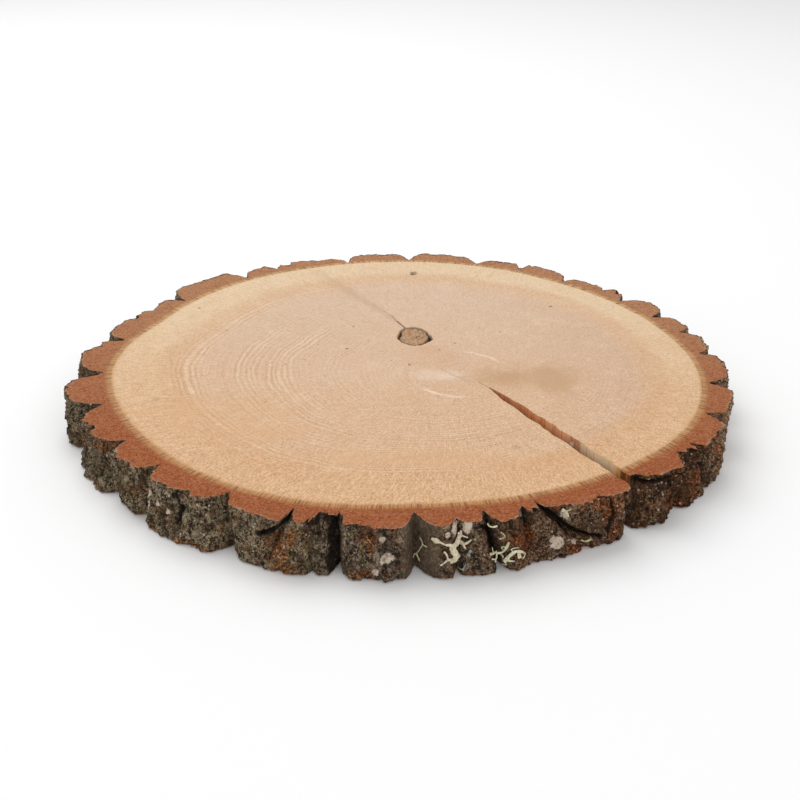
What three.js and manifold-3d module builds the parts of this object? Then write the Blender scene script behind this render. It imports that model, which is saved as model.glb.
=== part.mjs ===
// Slice of a tree trunk with its bark on, lying flat. Millimetres, +Z up, resting on z = 0.
import * as THREE from "three";
import { mergeVertices } from "three/addons/utils/BufferGeometryUtils.js";
import Module from "manifold-3d";

const wasm = await Module();
wasm.setup();

// Driving dimensions.
const thickness = 25;
const crackTip = [39.2, -33];
const crackMouth = [88.2, -114];
const crackWidth = 5.2;
const crackOpening = 15; // distance over which the crack widens from its tip
const crackMouthAngles = [307.4, 310]; // where the two crack walls leave the bark, at the top face
const rimSoftening = 0.5; // how far the bark draws in at the two sawn rims
const gap = 0.3; // between a lichen and the bark behind it

// The bark, anticlockwise. Each row is a furrow and the plate that follows it:
// at: the furrow's angle at the top face. floor: its radius there. foot: its radius at the underside.
// drift: degrees it moves on its way down. before, after: width in degrees of its two flanks.
// from, to: the radius of the following plate at its two shoulders. lean: what it gains on its way down.
const bark = [
  { at: 3.6, floor: 150, foot: 151, drift: 1, before: 1.8, after: 2.2, from: 156, to: 159, lean: -1 },
  { at: 14.3, floor: 150.5, foot: 152, drift: -1, before: 2.6, after: 2.2, from: 157, to: 157.5, lean: 0.5 },
  { at: 23.3, floor: 148, foot: 149, drift: 1, before: 2.6, after: 2.8, from: 157.5, to: 159.5, lean: -0.8 },
  { at: 34.2, floor: 147, foot: 149, drift: 0, before: 3.6, after: 3.4, from: 153.5, to: 157, lean: 1.2 },
  { at: 41, floor: 151.5, foot: 152, drift: 1, before: 1.3, after: 2, from: 155, to: 153.5, lean: 0.6 },
  { at: 51, floor: 146, foot: 148, drift: -1, before: 1.8, after: 2.8, from: 157, to: 160, lean: -1 },
  { at: 62.8, floor: 152.5, foot: 155, drift: 0, before: 0.9, after: 1.6, from: 158.5, to: 156, lean: 1 },
  { at: 73.3, floor: 149.5, foot: 149, drift: -1, before: 1.5, after: 4, from: 158.5, to: 163, lean: -1.2 },
  { at: 89.6, floor: 150, foot: 151, drift: 1, before: 3.4, after: 3, from: 159, to: 160.5, lean: 1 },
  { at: 104, floor: 149.5, foot: 148, drift: 0, before: 2, after: 2, from: 156.5, to: 162, lean: -0.6 },
  { at: 120.8, floor: 153, foot: 152, drift: -1, before: 2.4, after: 1.8, from: 162.5, to: 158, lean: 0.8 },
  { at: 129, floor: 150.5, foot: 150, drift: 0, before: 2, after: 3, from: 165.5, to: 164, lean: -1.5 },
  { at: 147.8, floor: 150, foot: 151, drift: 1, before: 3.6, after: 2.2, from: 159.5, to: 156.5, lean: 1 },
  { at: 155.3, floor: 155, foot: 153, drift: 0, before: 0.8, after: 2, from: 159.5, to: 160, lean: 0.6 },
  { at: 161, floor: 158.5, foot: 160, drift: 0, before: 1, after: 1, from: 161.5, to: 161, lean: 1 },
  { at: 171.7, floor: 150.5, foot: 151, drift: 1, before: 4, after: 1.2, from: 160, to: 160.4, lean: 1 },
  { at: 174.8, floor: 160, foot: 161, drift: 0, before: 0.8, after: 1.4, from: 165.5, to: 164, lean: 2.2 },
  { at: 187, floor: 151.5, foot: 150, drift: 1, before: 4.5, after: 3.8, from: 166.5, to: 167.5, lean: 1.5 },
  { at: 200.5, floor: 152, foot: 152, drift: 0, before: 3.9, after: 4.2, from: 163, to: 162, lean: 3.4 },
  { at: 215.8, floor: 151.5, foot: 153, drift: 1, before: 2.6, after: 1.8, from: 160.5, to: 163.5, lean: 0.5 },
  { at: 226.6, floor: 152.5, foot: 154, drift: -1, before: 3, after: 2.4, from: 163, to: 161, lean: 2 },
  { at: 241.5, floor: 151.5, foot: 152, drift: 1, before: 2.6, after: 2.2, from: 157.5, to: 164.5, lean: 0.2 },
  { at: 253, floor: 154.5, foot: 163, drift: -4, before: 0.9, after: 0.8, from: 162.5, to: 161.5, lean: 1.6 },
  { at: 257.4, floor: 152.5, foot: 160, drift: -1, before: 1.2, after: 0.9, from: 157, to: 157, lean: 3 },
  { at: 260, floor: 150.5, foot: 151.5, drift: 0, before: 1, after: 1.6, from: 160, to: 160, lean: 1 },
  { at: 271.2, floor: 148, foot: 149.5, drift: 0.2, before: 1.8, after: 3.8, from: 159, to: 158.5, lean: 1 },
  { at: 277.6, floor: 154, foot: 155.5, drift: 0, before: 0.9, after: 1.2, from: 157, to: 156.5, lean: 2 },
  { at: 281.8, floor: 149.5, foot: 150, drift: 2.4, before: 1, after: 2, from: 160, to: 157.5, lean: 0.6 },
  { at: 288, floor: 149, foot: 157, drift: 1, before: 2.6, after: 0.8, from: 156, to: 155.5, lean: 1 },
  { at: 290.5, floor: 148.5, foot: 155, drift: 8, before: 0.7, after: 1, from: 156, to: 160, lean: -0.5 },
  { at: 308.8, floor: 147, foot: 149, drift: -1.5, before: 4.2, after: 4.6, from: 158.5, to: 160.5, lean: 0 },
  { at: 321, floor: 151, foot: 153, drift: -3, before: 3.4, after: 2, from: 158, to: 158, lean: 3 },
  { at: 324.8, floor: 153, foot: 157, drift: 2, before: 0.9, after: 1, from: 160, to: 160, lean: 1 },
  { at: 336.8, floor: 150.5, foot: 151, drift: 1, before: 2.6, after: 2.6, from: 158.5, to: 161, lean: -1 },
  { at: 350, floor: 150.5, foot: 152, drift: -1, before: 2.4, after: 3, from: 159, to: 160.5, lean: -0.6 },
];
const count = bark.length;
const radians = THREE.MathUtils.degToRad;
const lerp = THREE.MathUtils.lerp;

// depth runs from 0 at the top face to 1 at the underside.
function furrowAngle(index, depth) {
  const turns = Math.floor(index / count);
  const row = bark[index - turns * count];
  return row.at + 360 * turns + row.drift * depth;
}

// Which plate a top-face angle lies on, and how far along it, from 0 to 1.
function plateAt(angle) {
  const turned = bark[0].at + THREE.MathUtils.euclideanModulo(angle - bark[0].at, 360);
  let index = count - 1;
  while (index > 0 && bark[index].at > turned) index -= 1;
  const start = furrowAngle(index, 0);
  const along = (turned - start) / (furrowAngle(index + 1, 0) - start);
  return { index, along };
}

// A point on the bark: the angle is the one its plate has at the top face.
function barkPoint(angle, depth) {
  const { index, along } = plateAt(angle);
  const row = bark[index];
  const next = bark[(index + 1) % count];
  const start = furrowAngle(index, depth);
  const span = furrowAngle(index + 1, depth) - start;
  const share = Math.min(1, (0.92 * span) / (row.after + next.before));
  const fromFurrow = Math.min(1, (along * span) / (row.after * share));
  const toFurrow = Math.min(1, ((1 - along) * span) / (next.before * share));
  const belly = 0.8 * Math.sin(2.4 * index) * Math.sin(Math.PI * depth);
  const crown = 0.9 * Math.sin(Math.PI * along);
  const crest = lerp(row.from, row.to, along) + crown + row.lean * depth + belly;
  const low = fromFurrow < toFurrow ? lerp(row.floor, row.foot, depth) : lerp(next.floor, next.foot, depth);
  const rise = Math.sin((Math.PI / 2) * Math.min(fromFurrow, toFurrow));
  const rim = rimSoftening * Math.max(0, 1 - 8 * Math.min(depth, 1 - depth));
  return { angle: start + along * span, radius: low + (crest - low) * rise - rim };
}

// Top-face angles where the outline has a corner: each furrow, its flanks, and the plate between.
function outlineAngles(index) {
  const row = bark[index];
  const next = bark[(index + 1) % count];
  const start = furrowAngle(index, 0);
  const span = furrowAngle(index + 1, 0) - start;
  const share = Math.min(1, (0.92 * span) / (row.after + next.before));
  const rise = [0, 0.35, 0.7, 1].map((part) => start + part * row.after * share);
  const fall = [1, 0.7, 0.35].map((part) => start + span - part * next.before * share);
  const level = fall[0] - rise[3];
  const steps = Math.max(1, Math.round(level / 2.6));
  const crest = Array.from({ length: steps - 1 }, (_, i) => rise[3] + (level * (i + 1)) / steps);
  return [...rise, ...crest, ...fall];
}

// The outline starts on the crack's right-hand wall, runs round the bark, and comes back up the left.
function sliceShape() {
  const [leave, enter] = crackMouthAngles;
  const round = bark.flatMap((_, index) => outlineAngles(index));
  const after = round.filter((angle) => angle > enter + 0.2);
  const before = round.filter((angle) => angle < leave - 0.2);
  const points = [enter, ...after, ...before, leave].map((angle) => {
    const { radius } = barkPoint(angle, 0);
    return new THREE.Vector2(radius * Math.cos(radians(angle)), radius * Math.sin(radians(angle)));
  });
  const tip = new THREE.Vector2(...crackTip);
  const run = new THREE.Vector2(...crackMouth).sub(tip);
  const side = new THREE.Vector2(-run.y, run.x).normalize();
  const crackWall = (hand) => [0.94, 0.8, 0.66, 0.52, 0.38, 0.26, 0.16, 0.07].map((part) => {
    const far = part * run.length();
    const half = (hand * crackWidth * (1 - Math.exp(-far / crackOpening))) / 2;
    const wander = 0.35 * Math.sin(0.31 * far + hand) * Math.min(1, far / 30);
    return tip.clone().addScaledVector(run, part).addScaledVector(side, half + wander);
  });
  return new THREE.Shape([...points, ...crackWall(-1), tip, ...crackWall(1).reverse()]);
}

function solidOf(geometry) {
  const bare = geometry.clone();
  bare.deleteAttribute("normal");
  bare.deleteAttribute("uv");
  const merged = mergeVertices(bare, 1e-4);
  return new wasm.Manifold(
    new wasm.Mesh({
      numProp: 3,
      vertProperties: merged.attributes.position.array,
      triVerts: new Uint32Array(merged.index.array),
    }),
  );
}

function geometryOf(solid) {
  const mesh = solid.getMesh();
  const geometry = new THREE.BufferGeometry();
  geometry.setAttribute("position", new THREE.BufferAttribute(mesh.vertProperties, 3));
  geometry.setIndex(new THREE.BufferAttribute(mesh.triVerts, 1));
  geometry.computeVertexNormals();
  return geometry;
}

// Heights of the rings of corners up the sawn edge, as shares of the thickness.
const layers = [0, 0.06, 0.25, 0.5, 0.75, 0.94, 1];

// The slab: the outline raised through the layers, each corner moved to where its plate is there.
function slabSolid() {
  const geometry = new THREE.ExtrudeGeometry(sliceShape(), {
    depth: layers.length - 1,
    steps: layers.length - 1,
    bevelEnabled: false,
  });
  const place = geometry.attributes.position;
  for (let i = 0; i < place.count; i += 1) {
    const share = layers[Math.round(place.getZ(i))];
    const radius = Math.hypot(place.getX(i), place.getY(i));
    const angle = THREE.MathUtils.radToDeg(Math.atan2(place.getY(i), place.getX(i)));
    const top = barkPoint(angle, 0);
    const here = barkPoint(angle, 1 - share);
    const onBark = Math.abs(radius - top.radius) < 0.01;
    const carried = THREE.MathUtils.smoothstep(radius, 120, 146);
    const turned = angle + (here.angle - top.angle) * carried;
    const reach = onBark ? here.radius : radius;
    place.setXYZ(i, reach * Math.cos(radians(turned)), reach * Math.sin(radians(turned)), share * thickness);
  }
  return solidOf(geometry);
}

// The gap round the dead knot: a crescent down its right side, open at the upper left.
const knotCentre = [3.8, 28];
const knotGapDepth = 7;
function knotGapSolid() {
  const rim = [
    { at: 98, radius: 12.6, width: 0.7 },
    { at: 60, radius: 10.8, width: 1.1 },
    { at: 25, radius: 8.2, width: 1 },
    { at: 0, radius: 8, width: 1.3 },
    { at: -25, radius: 8.2, width: 1.9 },
    { at: -60, radius: 10, width: 1.5 },
    { at: -90, radius: 11.6, width: 1 },
    { at: -125, radius: 10.6, width: 0.8 },
    { at: -155, radius: 8.6, width: 0.8 },
    { at: -190, radius: 7.8, width: 1 },
    { at: -220, radius: 8.6, width: 0.8 },
  ];
  const ring = (inward) => rim.map(({ at, radius, width }) => {
    const reach = radius - inward * width;
    return [knotCentre[0] + reach * Math.cos(radians(at)), knotCentre[1] + reach * Math.sin(radians(at))];
  });
  const shape = new THREE.Shape([...ring(0), ...ring(1).reverse()].map(([x, y]) => new THREE.Vector2(x, y)));
  const geometry = new THREE.ExtrudeGeometry(shape, { depth: knotGapDepth + 1, bevelEnabled: false });
  geometry.translate(0, 0, thickness - knotGapDepth);
  return solidOf(geometry);
}

// A lichen lies on the bark: each branch runs through [angle, distance below the top face, stand-off].
function branchSolid({ path, radius }) {
  const points = path.map(([angle, below, off]) => {
    const depth = below / thickness;
    const nearby = [-1.4, -0.7, 0, 0.7, 1.4].map((step) => barkPoint(angle + step, depth).radius);
    const reach = Math.max(...nearby) + gap + radius + off;
    return new THREE.Vector3(
      reach * Math.cos(radians(angle)),
      reach * Math.sin(radians(angle)),
      thickness - below,
    );
  });
  const curve = new THREE.CatmullRomCurve3(points);
  const section = new THREE.Shape().absarc(0, 0, radius, 0, 2 * Math.PI);
  return solidOf(
    new THREE.ExtrudeGeometry(section, {
      extrudePath: curve,
      steps: 2 * path.length,
      curveSegments: 3,
      bevelEnabled: false,
    }),
  );
}

function lichenGeometry(branches) {
  return geometryOf(branches.map(branchSolid).reduce((whole, part) => whole.add(part)));
}

const lichens = {
  lichen_tuft_cream: [
    { radius: 1.5, path: [[276.9, 17.4, 0], [277.4, 13, 0.3], [277.2, 8.4, 0.3]] },
    { radius: 1.1, path: [[277.2, 9, 0.3], [275.6, 8.6, 0.4], [274.3, 7.4, 0.2], [273.8, 6.2, 0]] },
    { radius: 1.1, path: [[277.1, 9, 0.3], [277.6, 6.4, 0.3], [277.7, 3.6, 0.2]] },
    { radius: 0.9, path: [[277.4, 7.6, 0.3], [278.2, 8, 0.6], [279.2, 7.8, 0.3]] },
    { radius: 0.8, path: [[277.8, 7.8, 0.4], [277.9, 10, 0.6], [278.4, 12.2, 0.3]] },
    { radius: 0.8, path: [[276.9, 16.6, 0.2], [276.2, 15.6, 0.4], [275.6, 12.8, 0.2]] },
    { radius: 0.8, path: [[276.8, 16.8, 0.2], [276, 17.2, 0.4], [275.1, 18.8, 0]] },
  ],
  lichen_tuft_green: [
    { radius: 0.9, path: [[282, 14.4, 0.2], [283.1, 14.8, 0.5], [284, 13.2, 0.4], [284.4, 10.4, 0.2]] },
    { radius: 0.8, path: [[283, 14.8, 0.4], [282.4, 16.4, 0.4], [282.8, 19.2, 0.2]] },
    { radius: 0.8, path: [[282.3, 14.5, 0.3], [282, 13.2, 0.3], [282.1, 11.8, 0.2]] },
    { radius: 0.8, path: [[283, 14.9, 0.4], [283.8, 16, 0.7], [283.8, 18.8, 0.3]] },
    { radius: 1, path: [[283.8, 18, 0.4], [284.6, 15.4, 0.7], [285.4, 14.4, 0.5], [286.5, 18.6, 0.2]] },
    { radius: 0.8, path: [[285.5, 14.6, 0.5], [286.3, 15.6, 0.5], [287, 17.8, 0.2]] },
    { radius: 0.8, path: [[283.9, 17.6, 0.4], [284.8, 19.2, 0.5], [285.6, 19.8, 0.2]] },
  ],
  lichen_strand: [
    { radius: 0.6, path: [[272.2, 9, 0], [272.4, 11, 0.3], [272, 14.6, 0.4], [271.9, 18.4, 0.1]] },
    { radius: 0.6, path: [[272.1, 12.6, 0.3], [272.6, 11.6, 0.3], [273, 10.8, 0.1]] },
  ],
  lichen_sprig_upper: [{ radius: 0.7, path: [[281.7, 1.2, 0], [282.1, 2.1, 0.4], [282.8, 1.5, 0]] }],
  lichen_sprig_mid: [{ radius: 0.6, path: [[283.4, 4.2, 0], [283.9, 5.6, 0.5], [283.1, 7, 0]] }],
  lichen_sprig_right: [{ radius: 0.9, path: [[293.9, 2.2, 0], [294.4, 3.6, 0.4], [294.7, 5.4, 0]] }],
  lichen_sprig_low: [{ radius: 0.6, path: [[297.3, 18.8, 0], [298.2, 20, 0.4], [299.2, 19.4, 0]] }],
  lichen_crumb_upper: [{ radius: 1, path: [[278.6, 13.6, 0], [279, 14.6, 0.3], [278.9, 15.9, 0]] }],
  lichen_crumb_lower: [{ radius: 1, path: [[277.9, 18.4, 0], [278.1, 20, 0.3], [277.8, 21.6, 0]] }],
};

const colours = {
  lichen_tuft_cream: 0xd9d3b4,
  lichen_tuft_green: 0xc3c6a2,
  lichen_strand: 0xa7ab77,
  lichen_crumb_upper: 0x8f9a93,
  lichen_crumb_lower: 0x8f9a93,
};

const group = new THREE.Group();

function addPiece(name, geometry, color, roughness) {
  const mesh = new THREE.Mesh(geometry, new THREE.MeshStandardMaterial({ color, roughness, metalness: 0 }));
  mesh.name = name;
  group.add(mesh);
}

addPiece("wood_slice", geometryOf(slabSolid().subtract(knotGapSolid())), 0xc9a07a, 0.75);
for (const [name, branches] of Object.entries(lichens)) {
  addPiece(name, lichenGeometry(branches), colours[name] ?? 0xb9bd94, 0.9);
}

// The origin is under the middle of the outline.
const bounds = new THREE.Box3().setFromObject(group.getObjectByName("wood_slice"));
const middle = bounds.getCenter(new THREE.Vector3());
group.position.set(-middle.x, -middle.y, 0);

export default group;
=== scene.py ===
"""Looks for a slice of tree trunk with its bark on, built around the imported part.

The wood, the bark and each lichen are separate meshes. Lengths are worked in millimetres from the
middle of the wood and turned to metres in the row's frame when a mesh is finished.
"""

import logging
import math
from dataclasses import dataclass
from enum import Enum
from functools import cached_property
from typing import Iterable, Sequence

import bmesh
import bpy
import numpy as np
from mathutils import Matrix, Vector, noise
from mathutils.bvhtree import BVHTree


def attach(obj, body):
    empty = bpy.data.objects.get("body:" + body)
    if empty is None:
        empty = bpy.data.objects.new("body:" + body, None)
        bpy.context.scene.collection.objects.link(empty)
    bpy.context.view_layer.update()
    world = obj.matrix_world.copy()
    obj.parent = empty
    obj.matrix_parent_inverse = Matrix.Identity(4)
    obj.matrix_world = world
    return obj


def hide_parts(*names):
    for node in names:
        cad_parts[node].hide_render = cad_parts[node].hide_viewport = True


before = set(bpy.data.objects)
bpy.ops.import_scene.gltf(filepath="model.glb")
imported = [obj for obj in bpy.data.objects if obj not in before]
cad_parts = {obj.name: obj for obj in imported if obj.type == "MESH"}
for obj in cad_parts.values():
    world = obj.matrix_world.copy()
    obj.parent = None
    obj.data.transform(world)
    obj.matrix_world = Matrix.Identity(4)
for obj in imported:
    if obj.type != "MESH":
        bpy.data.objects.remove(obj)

LOG = logging.getLogger("wood_slice")
MM = 0.001
TURN = 2 * math.pi


class Side(Enum):
    """The two walls of the drying crack, by the way that each has moved."""

    RIGHT = 1
    LEFT = -1


def smooth_step(value: float, low: float, high: float) -> float:
    """Rises smoothly from 0 at low to 1 at high."""
    share = min(1.0, max(0.0, (value - low) / (high - low)))
    return share * share * (3 - 2 * share)


def wave(x: float, y: float, z: float, scale: float) -> float:
    """Smooth noise between about -1 and 1, with features about scale across."""
    return noise.noise(Vector((x / scale, y / scale, z / scale)))


@dataclass(frozen=True)
class Trunk:
    """The measures that wood and bark share, in millimetres from the middle of the wood."""

    centre: tuple[float, float] = (3.6, 0.0)
    thickness: float = 25.0
    pith: tuple[float, float] = (22.8, -21.2)
    tip: tuple[float, float] = (39.2, -33.0)
    mouth: tuple[float, float] = (88.2, -114.0)
    crack_width: float = 5.8
    crack_opening: float = 15.0
    crack_reach: float = 12.0
    pinch: float = 0.3
    # The line between wood and bark: angle in degrees and radius.
    cambium: tuple[tuple[float, float], ...] = (
        (0, 145), (12, 142.5), (30, 141.3), (50, 141.5), (68, 144.8), (90, 146), (130, 146),
        (148, 143.5), (161, 141), (172, 145), (184, 147.3), (205, 145), (218, 144.6), (240, 147),
        (256, 146.4), (270, 142.4), (300, 143.3), (328, 147), (345, 146.3),
    )

    @cached_property
    def wood_radii(self) -> list[float]:
        """The wood's radius at every degree, smoothed over its neighbours."""
        at, radius = zip(*self.cambium)
        near = [np.interp(np.arange(361) + step, at, radius, period=360) for step in (-4, -2, 0, 2, 4)]
        return list(sum(near) / len(near))

    def wood_radius(self, angle: float) -> float:
        """The wood's radius at an angle in radians."""
        degrees = math.degrees(angle) % 360
        below = int(degrees)
        share = degrees - below
        return self.wood_radii[below] * (1 - share) + self.wood_radii[min(below + 1, 360)] * share

    @cached_property
    def along(self) -> Vector:
        """The crack's direction, from its tip to the bark."""
        return (Vector(self.mouth) - Vector(self.tip)).normalized()

    @cached_property
    def across(self) -> Vector:
        """Square to the crack, towards its right-hand wall."""
        return Vector((-self.along.y, self.along.x))

    def half_gap(self, far: float, side: Side) -> float:
        """Half the crack's width at a distance from its tip. The left wall closes in at the bark."""
        gap = self.crack_width / 2 * (1 - math.exp(-max(far, 0.0) / self.crack_opening))
        return gap if side is Side.RIGHT else gap * (1 - self.pinch * smooth_step(far, 89, 100))

    def wander(self, far: float) -> float:
        """How far the crack strays from a straight line."""
        return 0.35 * math.sin(0.31 * far) * min(1.0, max(far, 0.0) / 30)

    def opened(self, x: float, y: float, side: Side) -> tuple[float, float]:
        """Moves a point of the uncracked trunk to where the open crack pushes it.

        Args:
            x: Across, from the middle of the wood.
            y: Away, from the middle of the wood.
            side: The side of the crack that the point is on.

        Returns:
            The moved point.
        """
        offset = Vector((x, y)) - Vector(self.tip)
        far = offset.dot(self.along)
        if far <= 0:
            return x, y
        fade = math.exp(-abs(offset.dot(self.across)) / self.crack_reach)
        push = self.across * (side.value * self.half_gap(far, side) + self.wander(far)) * fade
        return x + push.x, y + push.y

    def crack_angle(self, radius: float) -> float:
        """The angle about the middle at which the closed crack crosses a radius."""
        tip = Vector(self.tip)
        lean = tip.dot(self.along)
        far = -lean + math.sqrt(lean * lean - tip.length_squared + radius * radius)
        point = tip + self.along * far
        return math.atan2(point.y, point.x)

    def growth(self, x: float, y: float) -> float:
        """How far out from the pith a point grew, with 0 at the pith and 1 at the bark."""
        px, py = self.pith
        dx, dy = x - px, y - py
        outer = self.wood_radius(math.atan2(y, x))
        a = px * px + py * py - outer * outer
        b = 2 * (dx * px + dy * py)
        c = dx * dx + dy * dy
        return (-b - math.sqrt(max(b * b - 4 * a * c, 0.0))) / (2 * a)


def finish_piece(name: str, bm: bmesh.types.BMesh, trunk: Trunk, sharp: float = 40.0) -> bpy.types.Object:
    """Turns a mesh in millimetres into an object in the row's frame.

    Args:
        name: The piece's name.
        bm: The mesh, in millimetres from the middle of the wood. It is freed.
        trunk: The shared measures.
        sharp: Edges that bend by more than this many degrees stay sharp.

    Returns:
        The object, at the origin.
    """
    shift = Matrix.Translation((trunk.centre[0] * MM, trunk.centre[1] * MM, 0))
    bmesh.ops.transform(bm, matrix=shift @ Matrix.Scale(MM, 4), verts=bm.verts)
    bmesh.ops.recalc_face_normals(bm, faces=bm.faces)
    for face in bm.faces:
        face.smooth = True
    limit = math.radians(sharp)
    for edge in bm.edges:
        edge.smooth = len(edge.link_faces) == 2 and edge.calc_face_angle(0) < limit
    mesh = bpy.data.meshes.new(name)
    bm.to_mesh(mesh)
    bm.free()
    piece = bpy.data.objects.new(name, mesh)
    bpy.context.scene.collection.objects.link(piece)
    return piece


@dataclass
class Graph:
    """A material's nodes, with a short method for each kind used here."""

    material: bpy.types.Material

    @property
    def tree(self) -> bpy.types.NodeTree:
        """The material's node tree."""
        return self.material.node_tree

    def put(self, socket: bpy.types.NodeSocket, value: object) -> None:
        """Links a socket, or sets it where the value is a plain number, vector or colour."""
        if isinstance(value, bpy.types.NodeSocket):
            self.tree.links.new(value, socket)
        elif isinstance(value, (tuple, list)) and socket.type == "RGBA" and len(value) == 3:
            socket.default_value = (*value, 1.0)
        else:
            socket.default_value = value

    def node(self, kind: str, inputs: dict | None = None, **settings: object) -> bpy.types.Node:
        """Adds a node, with its settings and its inputs by name or number."""
        made = self.tree.nodes.new(kind)
        for key, value in settings.items():
            setattr(made, key, value)
        for key, value in (inputs or {}).items():
            self.put(made.inputs[key], value)
        return made

    def math(self, operation: str, first: object, second: object = 0.5, clamp: bool = False) -> bpy.types.NodeSocket:
        """Adds a Math node."""
        made = self.node("ShaderNodeMath", {0: first, 1: second}, operation=operation, use_clamp=clamp)
        return made.outputs[0]

    def vector(self, operation: str, first: object, second: object) -> bpy.types.NodeSocket:
        """Adds a Vector Math node."""
        made = self.node("ShaderNodeVectorMath", {0: first, 1: second}, operation=operation)
        return made.outputs["Value"] if operation in ("LENGTH", "DISTANCE", "DOT_PRODUCT") else made.outputs[0]

    def mix(self, share: object, first: object, second: object, blend: str = "MIX") -> bpy.types.NodeSocket:
        """Mixes two colours."""
        made = self.node("ShaderNodeMix", data_type="RGBA", blend_type=blend)
        self.put(made.inputs[0], share)
        self.put(made.inputs[6], first)
        self.put(made.inputs[7], second)
        return made.outputs[2]

    def ramp(self, value: object, stops: Sequence[tuple], ease: bool = False) -> bpy.types.NodeSocket:
        """Adds a colour ramp whose stops are (place, colour) or (place, grey)."""
        made = self.node("ShaderNodeValToRGB", {0: value})
        band = made.color_ramp
        band.interpolation = "EASE" if ease else "LINEAR"
        while len(band.elements) < len(stops):
            band.elements.new(1.0)
        for element, (place, colour) in zip(band.elements, stops):
            element.position = place
            shade = colour if isinstance(colour, (tuple, list)) else (colour,) * 3
            element.color = (*shade, 1.0)
        return made.outputs[0]

    def span(self, value: object, low: float, high: float, start: float = 0.0, end: float = 1.0) -> bpy.types.NodeSocket:
        """Maps low..high to start..end smoothly, and holds it outside."""
        made = self.node("ShaderNodeMapRange", interpolation_type="SMOOTHSTEP")
        for key, number in enumerate((value, low, high, start, end)):
            self.put(made.inputs[key], number)
        return made.outputs[0]

    def noise(self, vector: object, scale: float, detail: float = 2.0, rough: float = 0.5, warp: float = 0.0) -> bpy.types.NodeSocket:
        """Adds a Noise Texture and gives its value."""
        made = self.node(
            "ShaderNodeTexNoise",
            {"Vector": vector, "Scale": scale, "Detail": detail, "Roughness": rough, "Distortion": warp},
        )
        return made.outputs[0]

    def cells(self, vector: object, scale: float, output: str = "Distance", feature: str = "F1") -> bpy.types.NodeSocket:
        """Adds a Voronoi Texture and gives one of its outputs."""
        made = self.node("ShaderNodeTexVoronoi", {"Vector": vector, "Scale": scale}, feature=feature)
        return made.outputs[output]

    def attribute(self, name: str, output: str = "Fac") -> bpy.types.NodeSocket:
        """Reads one of the mesh's own attributes."""
        return self.node("ShaderNodeAttribute", attribute_name=name).outputs[output]

    def place(self, trunk: Trunk) -> bpy.types.NodeSocket:
        """The object coordinates, in millimetres from the middle of the wood."""
        where = self.node("ShaderNodeTexCoord").outputs["Object"]
        grown = self.vector("MULTIPLY", where, (1 / MM, 1 / MM, 1 / MM))
        return self.vector("SUBTRACT", grown, (*trunk.centre, 0.0))

    def spot(self, place: object, middle: Sequence[float], reach: float, soft: float = 0.4) -> bpy.types.NodeSocket:
        """A round mark: 1 inside, fading to 0 at reach."""
        away = self.vector("DISTANCE", place, tuple(middle))
        return self.span(away, reach * (1 - soft), reach, 1.0, 0.0)

    def finish(self, colour: object, rough: object, height: object, depth: float, strength: float = 1.0) -> None:
        """Joins colour, roughness and relief to the surface shader.

        Args:
            colour: The base colour.
            rough: The roughness.
            height: The relief, as a height of about 0 to 1.
            depth: How deep a height of 1 is, in metres.
            strength: How strongly the relief shows.
        """
        bump = self.node("ShaderNodeBump", {"Height": height, "Distance": depth, "Strength": strength})
        shader = self.tree.nodes["Principled BSDF"]
        self.put(shader.inputs["Base Color"], colour)
        self.put(shader.inputs["Roughness"], rough)
        self.put(shader.inputs["Normal"], bump.outputs[0])


def new_graph(name: str, specular: float) -> Graph:
    """Starts a material whose specular level is set on the shader itself."""
    material = bpy.data.materials.new(name)
    material.use_nodes = True
    material.node_tree.nodes["Principled BSDF"].inputs["Specular IOR Level"].default_value = specular
    return Graph(material)


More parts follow.
